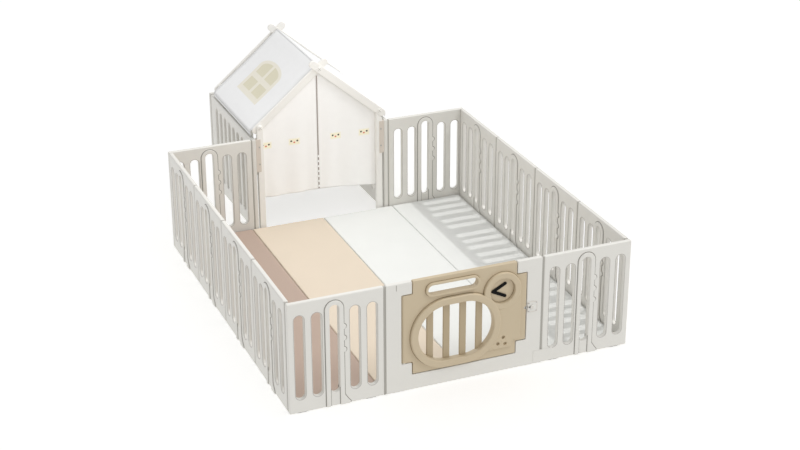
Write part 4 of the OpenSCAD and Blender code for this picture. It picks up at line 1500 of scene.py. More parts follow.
    def build_door(self) -> None:
        """Builds the door."""
        x, z = self.oval
        bx, bz = self.boss
        hx, hz = self.handle
        half_rim, part = self.handle_rim / 2, 0.020
        holes = [
            pill(x, z, self.oval_half + part, self.oval_rise + part, 24),
            pill(hx, hz, self.handle_half + half_rim, self.handle_rise + half_rim, 12),
            disc(bx, bz, (self.boss_radius + self.dish_radius) / 2, 48),
        ]
        board = self.pocketed(plate([self.door_loop()], holes, self.thick, 0.003, SAND))
        barrel_x = -(self.tab_half - self.thick / 2)
        radius, soft = self.thick / 2, 0.002
        length = self.tab_high - self.tab_low
        profile = [(0, 0), (radius - soft, 0), (radius - soft * 0.3, soft * 0.3), (radius, soft)]
        profile += [(r, length - y) for r, y in reversed(profile)]
        barrel = lathed(profile, SAND)
        moved(barrel, at(barrel_x, self.thick / 2, self.tab_low), UPRIGHT)
        parts = [board, self.ring(), self.handle_ring(), *self.boss_parts(), self.field_part(), self.bar_row(), barrel]
        parts.append(self.shade_lines())
        for part_mesh in parts:
            moved(part_mesh, self.here)
        piece("gate_door_moulding", parts, Body.GATE, "door_plastic", ["gate_door"])

    def build_brow(self) -> None:
        """Builds the dark bent bar in the dish."""
        lo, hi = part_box("door_brow")
        vx, vz = self.boss[0] - self.brow_left, self.boss[1]
        a, r, arm = math.radians(self.brow_turn), self.brow_half, self.brow_arm
        low_end = (vx + arm * math.cos(a), vz - arm * math.sin(a))
        high_end = (vx + arm * math.cos(a), vz + arm * math.sin(a))
        t = self.brow_turn
        loop = arc(*low_end, r, -t - 90, -t + 90, 8)
        loop += [(vx + r / math.sin(a), vz)]
        loop += arc(*high_end, r, t - 90, t + 90, 8)
        loop += arc(vx, vz, r, t + 90, 270 - t, 8)
        mesh = plate([loop], [], hi.y - lo.y + 0.003, 0.0018, BROW)
        piece("door_brow_inlay", [moved(mesh, at(0, lo.y - 0.002, 0))], Body.GATE, "brow_plastic", ["door_brow"])

    def build_latch(self) -> None:
        """Builds the latch's plate, knob and screws."""
        lo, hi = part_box("latch_plate")
        knob_lo, knob_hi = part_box("latch_knob")
        mid, half_w, half_h = (lo + hi) / 2, (hi.x - lo.x) / 2, (hi.z - lo.z) / 2
        outer = softened([(-half_w, -half_h), (half_w, -half_h), (half_w, half_h), (-half_w, half_h)], 0.006, 4)
        slot = pill((knob_lo.x + knob_hi.x) / 2 - 0.007 - mid.x, 0, 0.0125, 0.0050, 6)
        cover = moved(plate([outer], [slot], hi.y - lo.y, 0.0012, SHELL, 3), at(mid.x, lo.y, mid.z))
        inner = softened([(x * 0.93, z * 0.94) for x, z in outer], 0.001, 2)
        mark = plate([outer], [inner], 0.0016, 0.0005, BRACKET, 2)
        moved(mark, at(mid.x, lo.y - 0.0008, mid.z))
        piece("latch_plate_moulding", [cover, mark], Body.PEN, "panel_plastic", ["latch_plate"])
        kx, kz = (knob_hi.x - knob_lo.x) / 2, (knob_hi.z - knob_lo.z) / 2
        knob = plate([pill(0, 0, kx, kz, 12)], [], lo.y - knob_lo.y - 0.0012, 0.0018, SHELL)
        stem = plate([disc(0, 0, 0.004, 16)], [], knob_hi.y - knob_lo.y - 0.002, 0.0004, SHELL, 2)
        moved(stem, at(0, 0.002, 0))
        grips = plate([pill(0, 0, kx * 0.6, 0.001, 4)], [], 0.001, 0.0003, BRACKET, 2)
        ridges = set_out(grips, [(0, -0.0006, z) for z in (-0.006, 0.0, 0.006)], BRACKET)
        for mesh in (knob, stem, ridges):
            moved(mesh, at((knob_lo.x + knob_hi.x) / 2, knob_lo.y, (knob_lo.z + knob_hi.z) / 2))
        piece("latch_knob_moulding", [knob, stem, ridges], Body.LATCH, "door_plastic", ["latch_knob"])
        dressed("latch_bolt", SHELL)
        inset = 0.006
        spots = [(mid.x + sx * (half_w - inset), mid.z + sz * (half_h - inset)) for sx in (-1, 1) for sz in (-1, 1)]
        heads = set_out(screw_head(0.0032, 0.0012), [(x, lo.y - 0.0002, z) for x, z in spots], STEEL)
        piece("latch_screw_heads", [heads], Body.PEN, "pin_steel", ["latch_screws"])

    def build(self) -> None:
        """Builds the whole gate."""
        self.build_frame()
        self.build_door()
        self.build_brow()
        self.build_latch()
        dressed("hinge_pins", STEEL)
        dressed("hinge_washer", SHELL)


def screw_head(radius: float, rise: float) -> Mesh:
    """A pan-head screw's head with its cross recess, facing -Y, seated at Y = 0.

    Args:
        radius: Radius in metres.
        rise: Height above its seat.

    Returns:
        The head as a mesh.
    """
    deep, arm, wide = rise * 0.5, radius * 0.62, radius * 0.16
    cross: Loop = []
    for k in range(4):
        corner = turned([(wide, -arm), (wide, -wide)], 0, 0, 90 * k)
        cross += [turned([(-wide, -arm)], 0, 0, 90 * k)[0], *corner]
    cap = plate([disc(0, 0, radius, 24)], [cleaned(cross)], deep, deep * 0.4, STEEL, 3)
    seat = plate([disc(0, 0, radius, 24)], [], rise - deep + 0.0002, deep * 0.2, STEEL, 2)
    return one_mesh([moved(cap, at(0, -rise, 0)), moved(seat, at(0, -rise + deep, 0))])


# ---------------------------------------------------------------------------------------------
# House frame
# ---------------------------------------------------------------------------------------------


@dataclass
class HouseFrame:
    """Posts, rafters, tubes, bolts and brackets of the house, built once and turned for the rear."""

    post: float = 0.038
    layer: float = 0.014
    rafter: float = 0.048
    low_end: float = 0.025
    high_end: float = 0.050
    fit: float = 0.0002
    cap_rise: float = 0.004

    def __post_init__(self) -> None:
        """Reads the bolts' places from the frame."""
        lo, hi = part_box("ridge_tube")
        eave_lo, eave_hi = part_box("right_eave_tube")
        self.ridge_z = (lo.z + hi.z) / 2
        self.eave_x = (eave_lo.x + eave_hi.x) / 2
        self.eave_z = (eave_lo.z + eave_hi.z) / 2
        self.slope = math.degrees(math.atan2(self.ridge_z - self.eave_z, self.eave_x))
        self.run = math.hypot(self.eave_x, self.ridge_z - self.eave_z)
        self.front = at(0, low("front_left_post").y, 0)
        self.rear = at(0, high("rear_left_post").y, 0) @ spun(180)

    def full_layer(self) -> Loop:
        """A right-hand post's layer with the round top."""
        half, x = self.post / 2, self.eave_x
        return [(x - half, 0), (x + half, 0), *arc(x, self.eave_z, half, 0, 180, 16)]

    def cut_layer(self) -> Loop:
        """A right-hand post's layer that stops under its rafter.

        Returns:
            The outline.
        """
        half, x = self.post / 2, self.eave_x
        s, c = math.sin(math.radians(self.slope)), math.cos(math.radians(self.slope))
        reach = self.rafter / 2 + self.fit

        def height(dx: float) -> float:
            """Height of the cut at a distance from the post's middle."""
            return self.eave_z - (reach + dx * s) / c

        return [(x - half, 0), (x + half, 0), (x + half, height(half)), (x - half, height(-half))]

    def rafter_loop(self) -> Loop:
        """A right-hand rafter.

        Returns:
            The outline.
        """
        middle, half = (self.run + self.high_end - self.low_end) / 2, (self.run + self.high_end + self.low_end) / 2
        along = pill(middle, 0, half + self.rafter / 2, self.rafter / 2, 14)
        return turned(along, self.eave_x, self.eave_z, 180 - self.slope)

    def timber(self, loop: Loop, layer: int, edge: float) -> Mesh:
        """One layer of the gable, the front one or the one behind it."""
        board = plate([softened(loop, 0.003, 3)], [], self.layer, edge, POST_PLASTIC)
        return moved(board, at(0, layer * self.layer, 0))

    def cap(self) -> Mesh:
        """A bolt's domed cap with a ring of four dots and a cross, facing -Y, seated at Y = 0.

        Returns:
            The cap as a mesh.
        """
        r, rise = 0.015, self.cap_rise
        dome = [(0, -rise), (r * 0.45, -rise * 0.97), (r * 0.8, -rise * 0.8), (r * 0.97, -rise * 0.4), (r, 0)]
        body = lathed([*dome, (0, 0)], POST_PLASTIC, 36)
        dot = lathed([(0, -0.0009), (0.0016, -0.0006), (0.0022, 0), (0, 0.0004)], LINK, 10)
        away = r * 0.42
        spots = [(sx * away, -rise * 0.93, sz * away) for sx in (-1, 1) for sz in (-1, 1)]
        dots = set_out(dot, spots, LINK)
        bars = [plate([pill(0, 0, r * 0.36, 0.0011, 4)], [], 0.0010, 0.0003, LINK, 2) for _ in range(2)]
        moved(bars[0], at(0, -rise - 0.0002, 0))
        moved(bars[1], at(0, -rise - 0.00025, 0), Matrix.Rotation(math.radians(90), 4, "Y"))
        return one_mesh([body, dots, *bars])

    def build_bolts(self) -> None:
        """Builds the caps of all six bolts."""
        spots = [(-self.eave_x, 0, self.eave_z), (0, 0, self.ridge_z), (self.eave_x, 0, self.eave_z)]
        row = [moved(self.cap(), at(*spot)) for spot in spots]
        front = one_mesh(row)
        rear = moved(placed(front), self.rear)
        piece("frame_bolt_caps", [moved(front, self.front), rear], Body.PEN, "frame_plastic", ["frame_bolts"], False)

    def build_brackets(self) -> None:
        """Builds the four post brackets and their screws."""
        lo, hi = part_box("post_brackets")
        screw_lo, screw_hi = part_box("bracket_screws")
        inner = self.eave_x
        outer, face = hi.x, 0.003
        post_edge = self.eave_x + self.post / 2
        height = hi.z - lo.z
        plan = [
            (inner, -face),
            (outer, -face),
            (outer, 2 * self.layer),
            (post_edge, 2 * self.layer),
            (post_edge, 0.0),
            (inner, 0.0),
        ]
        values = {"Thickness": height, "Edge Radius": 0.0012, "Edge Steps": 3, "Material": BRACKET.material()}
        mesh = grown(paths([softened(plan, 0.0012, 2)]), ROUNDED_PLATE, values)
        right = moved(mesh, at(0, 0, hi.z))
        left = grown(paths([softened(mirrored(plan), 0.0012, 2)]), ROUNDED_PLATE, values)
        moved(left, at(0, 0, hi.z))
        pair = one_mesh([right, left])
        rear = moved(placed(pair), self.rear)
        piece(
            "post_bracket_plates", [moved(pair, self.front), rear], Body.PEN, "bracket_plastic", ["post_brackets"]
        )
        screw_x = self.eave_x + self.post / 4
        reach = 0.005
        levels = (screw_lo.z + reach, screw_hi.z - reach)
        heads = set_out(
            screw_head(0.005, 0.0018), [(s * screw_x, -face, z) for s in (-1, 1) for z in levels], STEEL
        )
        rear_heads = moved(placed(heads), self.rear)
        piece(
            "bracket_screw_heads", [moved(heads, self.front), rear_heads], Body.PEN, "pin_steel", ["bracket_screws"]
        )

    def build(self) -> None:
        """Builds the whole frame of the house."""
        post_edge, rafter_edge = 0.003, 0.0045
        right_post = [self.timber(self.cut_layer(), 0, post_edge), self.timber(self.full_layer(), 1, post_edge)]
        left_post = [
            self.timber(mirrored(self.full_layer()), 0, post_edge),
            self.timber(mirrored(self.cut_layer()), 1, post_edge),
        ]
        right_rafter = [self.timber(self.rafter_loop(), 0, rafter_edge)]
        left_rafter = [self.timber(mirrored(self.rafter_loop()), 1, rafter_edge)]
        sets = {
            "post": (right_post, left_post),
            "rafter": (right_rafter, left_rafter),
        }
        for kind, (right, left) in sets.items():
            for name, meshes, home in (
                (f"front_right_{kind}", right, self.front),
                (f"front_left_{kind}", left, self.front),
                (f"rear_left_{kind}", right, self.rear),
                (f"rear_right_{kind}", left, self.rear),
            ):
                parts = [moved(placed(m), home) for m in meshes]
                piece(name + "_moulding", parts, Body.PEN, "frame_plastic", [name])
        for name in ("ridge_tube", "left_eave_tube", "right_eave_tube"):
            dressed(name, STEEL)
        self.build_bolts()
        self.build_brackets()


# ---------------------------------------------------------------------------------------------
# Cloth
# ---------------------------------------------------------------------------------------------


def sheet_mesh(
    width: float,
    length: float,
    across: int,
    along: int,
    place: Callable[[float, float], Vector],
    finish: Finish,
    flat: Callable[[float, float], Point] = lambda u, v: (u, v),
) -> Mesh:
    """A grid of cloth with a UV map that covers it once.

    Args:
        width: Flat width.
        length: Flat length.
        across: Faces across the width.
        along: Faces along the length.
        place: Where the point (u, v) in metres on the flat cloth goes.
        finish: The cloth.
        flat: Place on the cut cloth of grid point (u, v), where the cut is no oblong.

    Returns:
        The mesh.
    """
    mesh = bpy.data.meshes.new("sheet")
    verts = [place(width * i / across, length * j / along) for j in range(along + 1) for i in range(across + 1)]
    row = across + 1
    faces = [
        (j * row + i, j * row + i + 1, (j + 1) * row + i + 1, (j + 1) * row + i)
        for j in range(along)
        for i in range(across)
    ]
    mesh.from_pydata(verts, [], faces)
    layer = mesh.uv_layers.new(name="cloth")
    for polygon in mesh.polygons:
        for index in polygon.loop_indices:
            j, i = divmod(mesh.loops[index].vertex_index, row)
            u, v = flat(width * i / across, length * j / along)
            layer.data[index].uv = (u / width, v / length)
    mesh.polygons.foreach_set("use_smooth", [True] * len(mesh.polygons))
    mesh.materials.append(finish.material())
    return mesh


def thickened(mesh: Mesh, depth: float) -> Mesh:
    """The sheet with its thickness, half on each side.

    Args:
        mesh: Mesh to work on.
        depth: Thickness in metres.

    Returns:
        The cloth as a closed body.
    """
    holder = link(mesh, "thickened")
    solid = holder.modifiers.new("thickness", "SOLIDIFY")
    solid.thickness = depth
    solid.offset = 0.0
    return evaluated(holder)


@dataclass
class Roof:
    """The roof cloth over the ridge and eave tubes, with its hems, ridge seam and printed window."""

    frame: HouseFrame
    over: float = 0.054
    lift: float = 0.0170
    sag: float = 0.006
    cloth: float = 0.0012
    hem: float = 0.022
    valance: float = 0.030

    def __post_init__(self) -> None:
        """Reads the cloth's reach from the frame."""
        lo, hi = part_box("roof_left")
        self.y0, self.y1 = lo.y, hi.y
        self.length = self.y1 - self.y0
        self.bend = math.radians(self.frame.slope)
        self.slope = self.lift * self.bend + self.frame.run + self.over
        self.half = self.slope + self.valance
        self.width = 2 * self.half

    def window(self) -> tuple[Print, ...]:
        """The printed four-pane window on the left slope, in metres on the flat cloth.

        Returns:
            The patches, in the order they are printed.
        """
        surround, pane, rib = "#EAE5D6", "#DBD5BB", 0.018
        sill, spring, crown, middle_y, half_y = 0.440, 0.235, 0.165, 0.392, 0.180
        cross = 0.306

        def across(s: float) -> float:
            """Place on the flat cloth at a distance down the left slope."""
            return self.half - s

        body = Print(across((sill + spring) / 2), middle_y, (sill - spring) / 2, half_y, surround, soft=0.004)
        head = Print(across(spring), middle_y, spring - crown, half_y, surround, round=True, soft=0.004)
        lower_half = (sill - 0.036 - cross - rib) / 2
        upper_low = cross - rib
        patches = [body, head]
        side = (half_y - 0.036 - rib) / 2
        for way in (-1, 1):
            y = middle_y + way * (rib + side)
            patches.append(Print(across(cross + rib + lower_half), y, lower_half, side, pane, soft=0.003))
            patches.append(Print(across((upper_low + spring) / 2), y, (upper_low - spring) / 2, side, pane, soft=0.003))
        reach, tall = half_y - 0.036, spring - crown - 0.022
        patches.append(Print(across(spring), middle_y, tall, reach, pane, round=True, soft=0.003))
        patches.append(Print(across((crown + upper_low) / 2), middle_y, 0.058, rib * 0.9, surround, soft=0.003))
        return tuple(patches)

    def finish(self) -> WovenCloth:
        """The roof's own cloth.

        Returns:
            The roof's cloth.
        """
        return WovenCloth(
            "woven_polyester_roof",
            "#F1F1F1",
            roughness=0.75,
            width=self.width,
            length=self.length,
            prints=self.window(),
        )

    def place(self, u: float, v: float, lift: float = 0.0) -> Vector:
        """Where a point of the flat cloth lies.

        Args:
            u: Metres across, from the left eave edge.
            v: Metres from the front edge.
            lift: Height above the cloth's middle.

        Returns:
            The point.
        """
        side = -1 if u < self.half else 1
        whole = abs(u - self.half)
        s = min(whole, self.slope)
        radius = self.lift + lift
        turn = min(s / self.lift, self.bend)
        rest = max(0.0, s - self.lift * self.bend)
        x = radius * math.sin(turn) + rest * math.cos(self.bend)
        z = radius * math.cos(turn) - rest * math.sin(self.bend)
        span = self.frame.run
        share = min(1.0, rest / span)
        ends = v / self.length
        dip = self.sag * math.sin(math.pi * share) if rest < span else 0.0
        dip *= 0.75 + 0.25 * math.sin(math.pi * ends)
        ripple = noise.noise(Vector((u * 5.0, v * 3.2, 0.7))) * 0.0022 * math.sin(math.pi * share)
        drop = dip - ripple
        x += -drop * math.sin(self.bend)
        z += -drop * math.cos(self.bend) - (whole - s)
        if whole > s:
            x += lift * (1 - math.sin(self.bend)) - 0.004 * (whole - s) / self.valance
            z -= lift * math.cos(self.bend)
        return Vector((side * x, self.y0 + v, self.frame.ridge_z + z))

    def ribbon(self, u0: float, u1: float, v0: float, v1: float, lift: float, finish: Finish) -> Mesh:
        """A strip of cloth sewn on top of the roof, between two places on the flat cloth.

        Args:
            u0: Start across the cloth.
            u1: End across the cloth.
            v0: Start along the cloth.
            v1: End along the cloth.
            lift: Height above the cloth.
            finish: Finish it is made of.

        Returns:
            The strip as a mesh.
        """
        across = max(2, round((u1 - u0) / 0.012))
        along = max(2, round((v1 - v0) / 0.012))
        mesh = sheet_mesh(
            u1 - u0, v1 - v0, across, along, lambda u, v: self.place(u0 + u, v0 + v, lift), finish
        )
        return thickened(mesh, self.cloth * 0.8)

    def build(self) -> None:
        """Builds the cloth, its hems, its ridge seam and their stitches."""
        mesh = thickened(sheet_mesh(self.width, self.length, 120, 64, self.place, self.finish()), self.cloth)
        cover = piece("roof_cloth", [mesh], Body.PEN, "roof_cloth", ["roof_left", "roof_right"], False)
        plain = WovenCloth("woven_polyester_hem", "#E4E4E4", roughness=0.78, width=0.02, length=0.7)
        lift = self.cloth
        edges = [
            self.ribbon(0.0, self.width, 0.0, self.hem, lift, plain),
            self.ribbon(0.0, self.width, self.length - self.hem, self.length, lift, plain),
            self.ribbon(0.0, self.hem, 0.0, self.length, lift * 1.9, plain),
            self.ribbon(self.width - self.hem, self.width, 0.0, self.length, lift * 1.9, plain),
            self.ribbon(self.half - 0.006, self.half + 0.006, 0.0, self.length, lift * 1.5, plain),
        ]
        hems = piece("roof_hems", edges, Body.PEN, "roof_cloth", (), False)
        runs = []
        for v in (self.hem * 0.85, self.length - self.hem * 0.85):
            runs.append([self.place(self.width * k / 160, v, lift * 1.5) for k in range(161)])
        for u in (self.hem * 0.85, self.width - self.hem * 0.85, self.half - 0.004, self.half + 0.004):
            runs.append([self.place(u, self.length * k / 40, lift * 2.4) for k in range(41)])
        values = {"Pitch": 0.009, "Stitch": 0.006, "Thread": 0.001, "Material": THREAD.material()}
        sewn = grown(paths(runs, False), STITCHES, values)
        stitches = piece("roof_stitches", [sewn], Body.PEN, "roof_cloth", (), False)
        self.build_rear(plain)

    def build_rear(self, finish: Finish) -> None:
        """Builds the cloth that fills the rear gable.

        Args:
            finish: Finish it is made of.
        """
        lo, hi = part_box("rear_cloth")
        y = (lo.y + hi.y) / 2
        side_z = lo.z + REAR_CLOTH_SIDE
        half = hi.x

        def place(u: float, v: float) -> Vector:
            """Where a point of the flat gable cloth hangs.

            Args:
                u: Metres across.
                v: Metres along.

            Returns:
                The place in metres.
            """
            x = u - half
            top = hi.z - (hi.z - side_z) * abs(x) / half
            z = lo.z + (top - lo.z) * v / (hi.z - lo.z)
            free = 1 - v / (hi.z - lo.z)
            return Vector((x, y + 0.002 * math.sin(u * 19) * free, z))

        mesh = thickened(sheet_mesh(2 * half, hi.z - lo.z, 64, 30, place, finish), self.cloth)
        made = piece("rear_gable_cloth", [mesh], Body.PEN, "roof_cloth", ["rear_cloth"], False)


@dataclass
class Curtains:
    """The two curtains of the front gable, with their printed faces, binding tape and press studs."""

    frame: HouseFrame
    cloth: float = 0.0011
    swing: float = 0.004
    folds: float = 2.5

    def __post_init__(self) -> None:
        """Reads the gable's shape from the frame."""
        left_lo, left_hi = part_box("curtain_left")
        right_lo, right_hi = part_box("curtain_right")
        self.left, self.split, self.right = left_lo.x, (left_hi.x + right_lo.x) / 2, right_hi.x
        self.low = left_lo.z
        self.apex = right_hi.z
        self.y = (left_lo.y + left_hi.y) / 2
        self.side_z = self.apex - self.right * math.tan(math.radians(self.frame.slope))

    def top(self, x: float) -> float:
        """Height of the gable's edge at x."""
        return self.apex - abs(x) * (self.apex - self.side_z) / self.right

    def hem_z(self, x: float, hang: float) -> float:
        """Height of the hem at x, where the outer corner hangs lower by hang."""
        return self.low - hang * max(0.0, (x - 0.05)) / 0.33

    def cut(self, x0: float, x1: float, hang: float) -> tuple[float, float, float]:
        """The size a curtain is cut to, from its outline and the cloth its folds take up, not from its mesh.

        Args:
            x0: Left edge.
            x1: Right edge.
            hang: How much lower its outer corner hangs.

        Returns:
            Flat width, flat length and flat area.
        """
        steep = 2 * math.pi * self.folds * self.swing / (x1 - x0)
        width = (x1 - x0) * (1 + steep**2 / 4)
        strips = 400
        places = [x0 + (x1 - x0) * (k + 0.5) / strips for k in range(strips)]
        heights = [self.top(x) - self.hem_z(x, hang) for x in places]
        return width, max(heights), width * sum(heights) / strips

    def faces(self, middle: float, spread: float) -> tuple[Print, ...]:
        """Two printed chick faces: a pale spot, two eyes and a beak, told from the cloth's lower left.

        Args:
            middle: Place midway between the two faces.
            spread: Distance from there to each face.

        Returns:
            The patches of every face.
        """
        y = 0.555 - self.low
        eye, halo, beak = "#1C1714", "#FBF4DA", "#D9705A"
        eyes = [
            Print(middle + side * spread + near, y + 0.004, 0.0060, 0.0054, eye, round=True, soft=0.0012)
            for side in (-1, 1)
            for near in (-0.019, 0.019)
        ]
        return (
            Print(middle, y, 0.034, 0.019, halo, soft=0.012, fold_x=spread),
            *eyes,
            Print(middle, y - 0.005, 0.0062, 0.0046, beak, round=True, soft=0.0015, fold_x=spread),
        )

    def build_side(self, name: str, x0: float, x1: float, hang: float, seed: float) -> Object:
        """Builds one curtain.

        Args:
            name: Name of its CAD node.
            x0: Left edge.
            x1: Right edge.
            hang: How much lower its outer corner hangs.
            seed: Shifts its folds.

        Returns:
            The curtain.
        """
        gap = x1 - x0
        tall = self.apex - self.low
        across, along = round(gap / 0.008), round(tall / 0.010)
        edge_is_right = x1 < 0
        middle, spread = (0.1265, 0.0905) if edge_is_right else (0.2075, 0.0945)
        finish = WovenCloth(
            f"woven_cotton_{name}",
            "#FCFBF9",
            roughness=0.85,
            width=gap,
            length=tall,
            thread=0.0018,
            prints=self.faces(middle, spread),
            sheen=0.35,
        )

        def place(u: float, v: float) -> Vector:
            """Where a point of the flat curtain hangs: u from its left edge, v up from its hem.

            Args:
                u: Metres across.
                v: Metres along.

            Returns:
                The place in metres.
            """
            x = x0 + u
            top = self.top(x)
            bottom = self.hem_z(x, hang)
            share = v / tall
            z = bottom + (top - bottom) * share
            free = (1 - share) ** 0.75
            from_split = (x1 - x) if edge_is_right else (x - x0)
            from_side = gap - from_split
            hold = min(1.0, from_split / 0.05) * min(1.0, from_side / 0.04)
            wave = math.sin(2 * math.pi * self.folds * u / gap + seed + 0.5 * math.sin(3.1 * share + seed))
            small = noise.noise(Vector((u * 9.0 + seed, v * 2.5, 3.3))) * 0.006
            return Vector((x, self.y + (wave * self.swing + small) * free * hold, z))

        def flat(u: float, v: float) -> Point:
            """Place of a grid point on the cut curtain."""
            return u, v / tall * (self.top(x0 + u) - self.low)

        mesh = sheet_mesh(gap, tall, across, along, place, finish, flat)
        made = piece(name + "_cloth", [thickened(mesh, self.cloth)], Body.PEN, "curtain_cloth", [name], False)
        trims = [self.binding()] if edge_is_right else []
        width, length, area = self.cut(x0, x1, hang)
        return made

    def binding(self) -> Object:
        """Builds the grey tape that binds the curtains' meeting edge and carries the studs.

        Returns:
            The tape as an object.
        """
        tape = WovenCloth("woven_cotton_tape_grey", "#A79D97", roughness=0.85, width=0.01, length=0.8, thread=0.0018)
        low_z, high_z = self.low + 0.002, self.top(self.split) - 0.02

        def place(u: float, v: float) -> Vector:
            """Where a point of the flat tape lies."""
            return Vector((self.split - 0.0035 + u, self.y - 0.0016, low_z + v))

        mesh = sheet_mesh(0.007, high_z - low_z, 2, 60, place, tape)
        return piece("curtain_edge_tape", [thickened(mesh, 0.001)], Body.PEN, "curtain_cloth", (), False)

    def build(self) -> None:
        """Builds both curtains and the studs."""
        self.build_side("curtain_left", self.left, self.split - 0.002, 0.0, 0.6)
        self.build_side("curtain_right", self.split + 0.002, self.right, 0.031, 2.1)
        lo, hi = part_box("curtain_studs")
        radius = (hi.x - lo.x) / 2 + 0.0015
        count = 7
        pitch = (hi.z - lo.z - (hi.x - lo.x)) / (count - 1)
        dome = [(0, 0.0), (radius * 0.5, 0.0002), (radius * 0.85, 0.0008), (radius, 0.0017), (radius * 0.9, 0.0026)]
        stud = lathed([*dome, (0, 0.0026)], STUD, 20)
        spots = [(self.split, self.y - 0.0048, lo.z + radius + k * pitch) for k in range(count)]
        piece(
            "curtain_stud_caps",
            [set_out(stud, spots, STUD)],
            Body.PEN,
            "stud_plastic",
            ["curtain_studs"],
            False,
        )


# ---------------------------------------------------------------------------------------------
# Mat
# ---------------------------------------------------------------------------------------------


@dataclass
class Mat:
    """The four foam sections in their covers, each with a crowned top and piping."""

    round_edge: float = 0.0065
    inset: float = 0.0008
    sink: float = 0.0012
    crown: float = 0.0008
    piping: float = 0.0026
    sections: tuple[tuple[str, Finish, Body, str], ...] = (
        ("mat_section_1", MAT_ROSE, Body.MAT_LEFT, "mat_rose"),
        ("mat_section_2", MAT_CREAM, Body.PEN, "mat_cream"),
        ("mat_section_3", MAT_WHITE, Body.PEN, "mat_white"),
        ("mat_section_4", MAT_WHITE, Body.MAT_RIGHT, "mat_white"),
    )

    def slab(self, lo: Vector, hi: Vector, finish: Finish, seed: float) -> Mesh:
        """One section's cover: a slab with round edges, a low crown and puckers along its seams.

        Args:
            lo: Lower corner.
            hi: Upper corner.
            finish: Finish it is made of.
            seed: Fixed seed of its unevenness.

        Returns:
            The section as a mesh.
        """
        e = self.round_edge
        half = Vector(((hi.x - lo.x) / 2 - self.inset, (hi.y - lo.y) / 2))
        mid = (lo + hi) / 2
        top, bottom = hi.z - self.sink, lo.z + 0.0005

        def stops(reach: float, count: int) -> list[float]:
            """Places across one way, closer together over the round edge.

            Args:
                reach: Half the length that is divided.
                count: Steps between the round edges.

            Returns:
                Distances along it.
            """
            edge = [reach - e * (1 - math.sin(math.pi / 2 * k / 5)) for k in range(5, -1, -1)]
            inner = reach - e
            middle = [-inner + 2 * inner * k / count for k in range(1, count)]
            return [-x for x in edge] + middle + list(reversed(edge))

        xs, ys = stops(half.x, 26), stops(half.y, 110)
        bm = bmesh.new()

        def level(upper: bool) -> list[list[bmesh.types.BMVert]]:
            """One of the two faces, its rim on the slab's side.

            Args:
                upper: Whether it is the upper face.

            Returns:
                Rows of corners.
            """
            rows = []
            for y in ys:
                row = []
                for x in xs:
                    over = Vector((max(0.0, abs(x) - half.x + e), max(0.0, abs(y) - half.y + e)))
                    px, py = x, y
                    if over.length > e:
                        near = over.normalized() * e
                        px = math.copysign(half.x - e + near.x, x)
                        py = math.copysign(half.y - e + near.y, y)
                        over = near
                    fall = e - math.sqrt(max(0.0, e * e - over.length_squared))
                    if upper:
                        u, v = px / half.x, py / half.y
                        rise = self.crown * (1 - u**4) * (1 - v**8)
                        near_edge = min(half.x - abs(px), half.y - abs(py))
                        pucker = math.exp(-near_edge / 0.03)
                        rise += 0.0007 * pucker * noise.noise(Vector((px * 42, py * 42, seed)))
                        rise += 0.0006 * noise.noise(Vector((px * 4, py * 4, seed + 5)))
                        z = top - fall + min(rise, self.sink - 0.0001)
                    else:
                        z = bottom + fall
                    row.append(bm.verts.new((mid.x + px, mid.y + py, z)))
                rows.append(row)
            return rows

        for upper in (True, False):
            rows = level(upper)
            for a, b in zip(rows, rows[1:]):
                for k in range(len(xs) - 1):
                    corners = [a[k], a[k + 1], b[k + 1], b[k]]
                    bm.faces.new(corners if upper else list(reversed(corners)))
        bmesh.ops.remove_doubles(bm, verts=bm.verts, dist=1e-5)
        rims = [edge for edge in bm.edges if len(edge.link_faces) == 1]
        bmesh.ops.bridge_loops(bm, edges=rims)
        bmesh.ops.recalc_face_normals(bm, faces=bm.faces)
        for f in bm.faces:
            f.smooth = True
        mesh = bpy.data.meshes.new("slab")
        bm.to_mesh(mesh)
        bm.free()
        mesh.materials.append(finish.material())
        return mesh

    def seam(self, lo: Vector, hi: Vector, z: float, out: float) -> list[tuple[float, float, float]]:
        """The line of a seam round a section, at one height and a distance outside its side.

        Args:
            lo: Lower corner.
            hi: Upper corner.
            z: Height of the seam.
            out: How far outside the section's side it runs.

        Returns:
            Points along the seam.
        """
        e = self.round_edge
        x0, x1 = lo.x + self.inset - out, hi.x - self.inset + out
        y0, y1 = lo.y - out, hi.y + out
        loop = [(x0, y0), (x1, y0), (x1, y1), (x0, y1)]
        return [(x, y, z) for x, y in softened(loop, e + out, 8)]

    def build(self) -> None:
        """Builds every section with its piping."""
        for index, (name, finish, body, slot) in enumerate(self.sections):
            lo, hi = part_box(name)
            slab = self.slab(lo, hi, finish, index * 7.3)
            z = hi.z - self.sink - self.round_edge
            values = {"Width": self.piping, "Height": self.piping, "Sides": 8, "Material": finish.material()}
            cord = grown(paths([self.seam(lo, hi, z, -0.0006)]), SWEPT_CORD, values)
            foot = grown(paths([self.seam(lo, hi, lo.z + self.round_edge, -0.0006)]), SWEPT_CORD, values)
            made = piece(name + "_cover", [slab, cord, foot], body, slot, [name], False)


# ---------------------------------------------------------------------------------------------
# Studio
# ---------------------------------------------------------------------------------------------


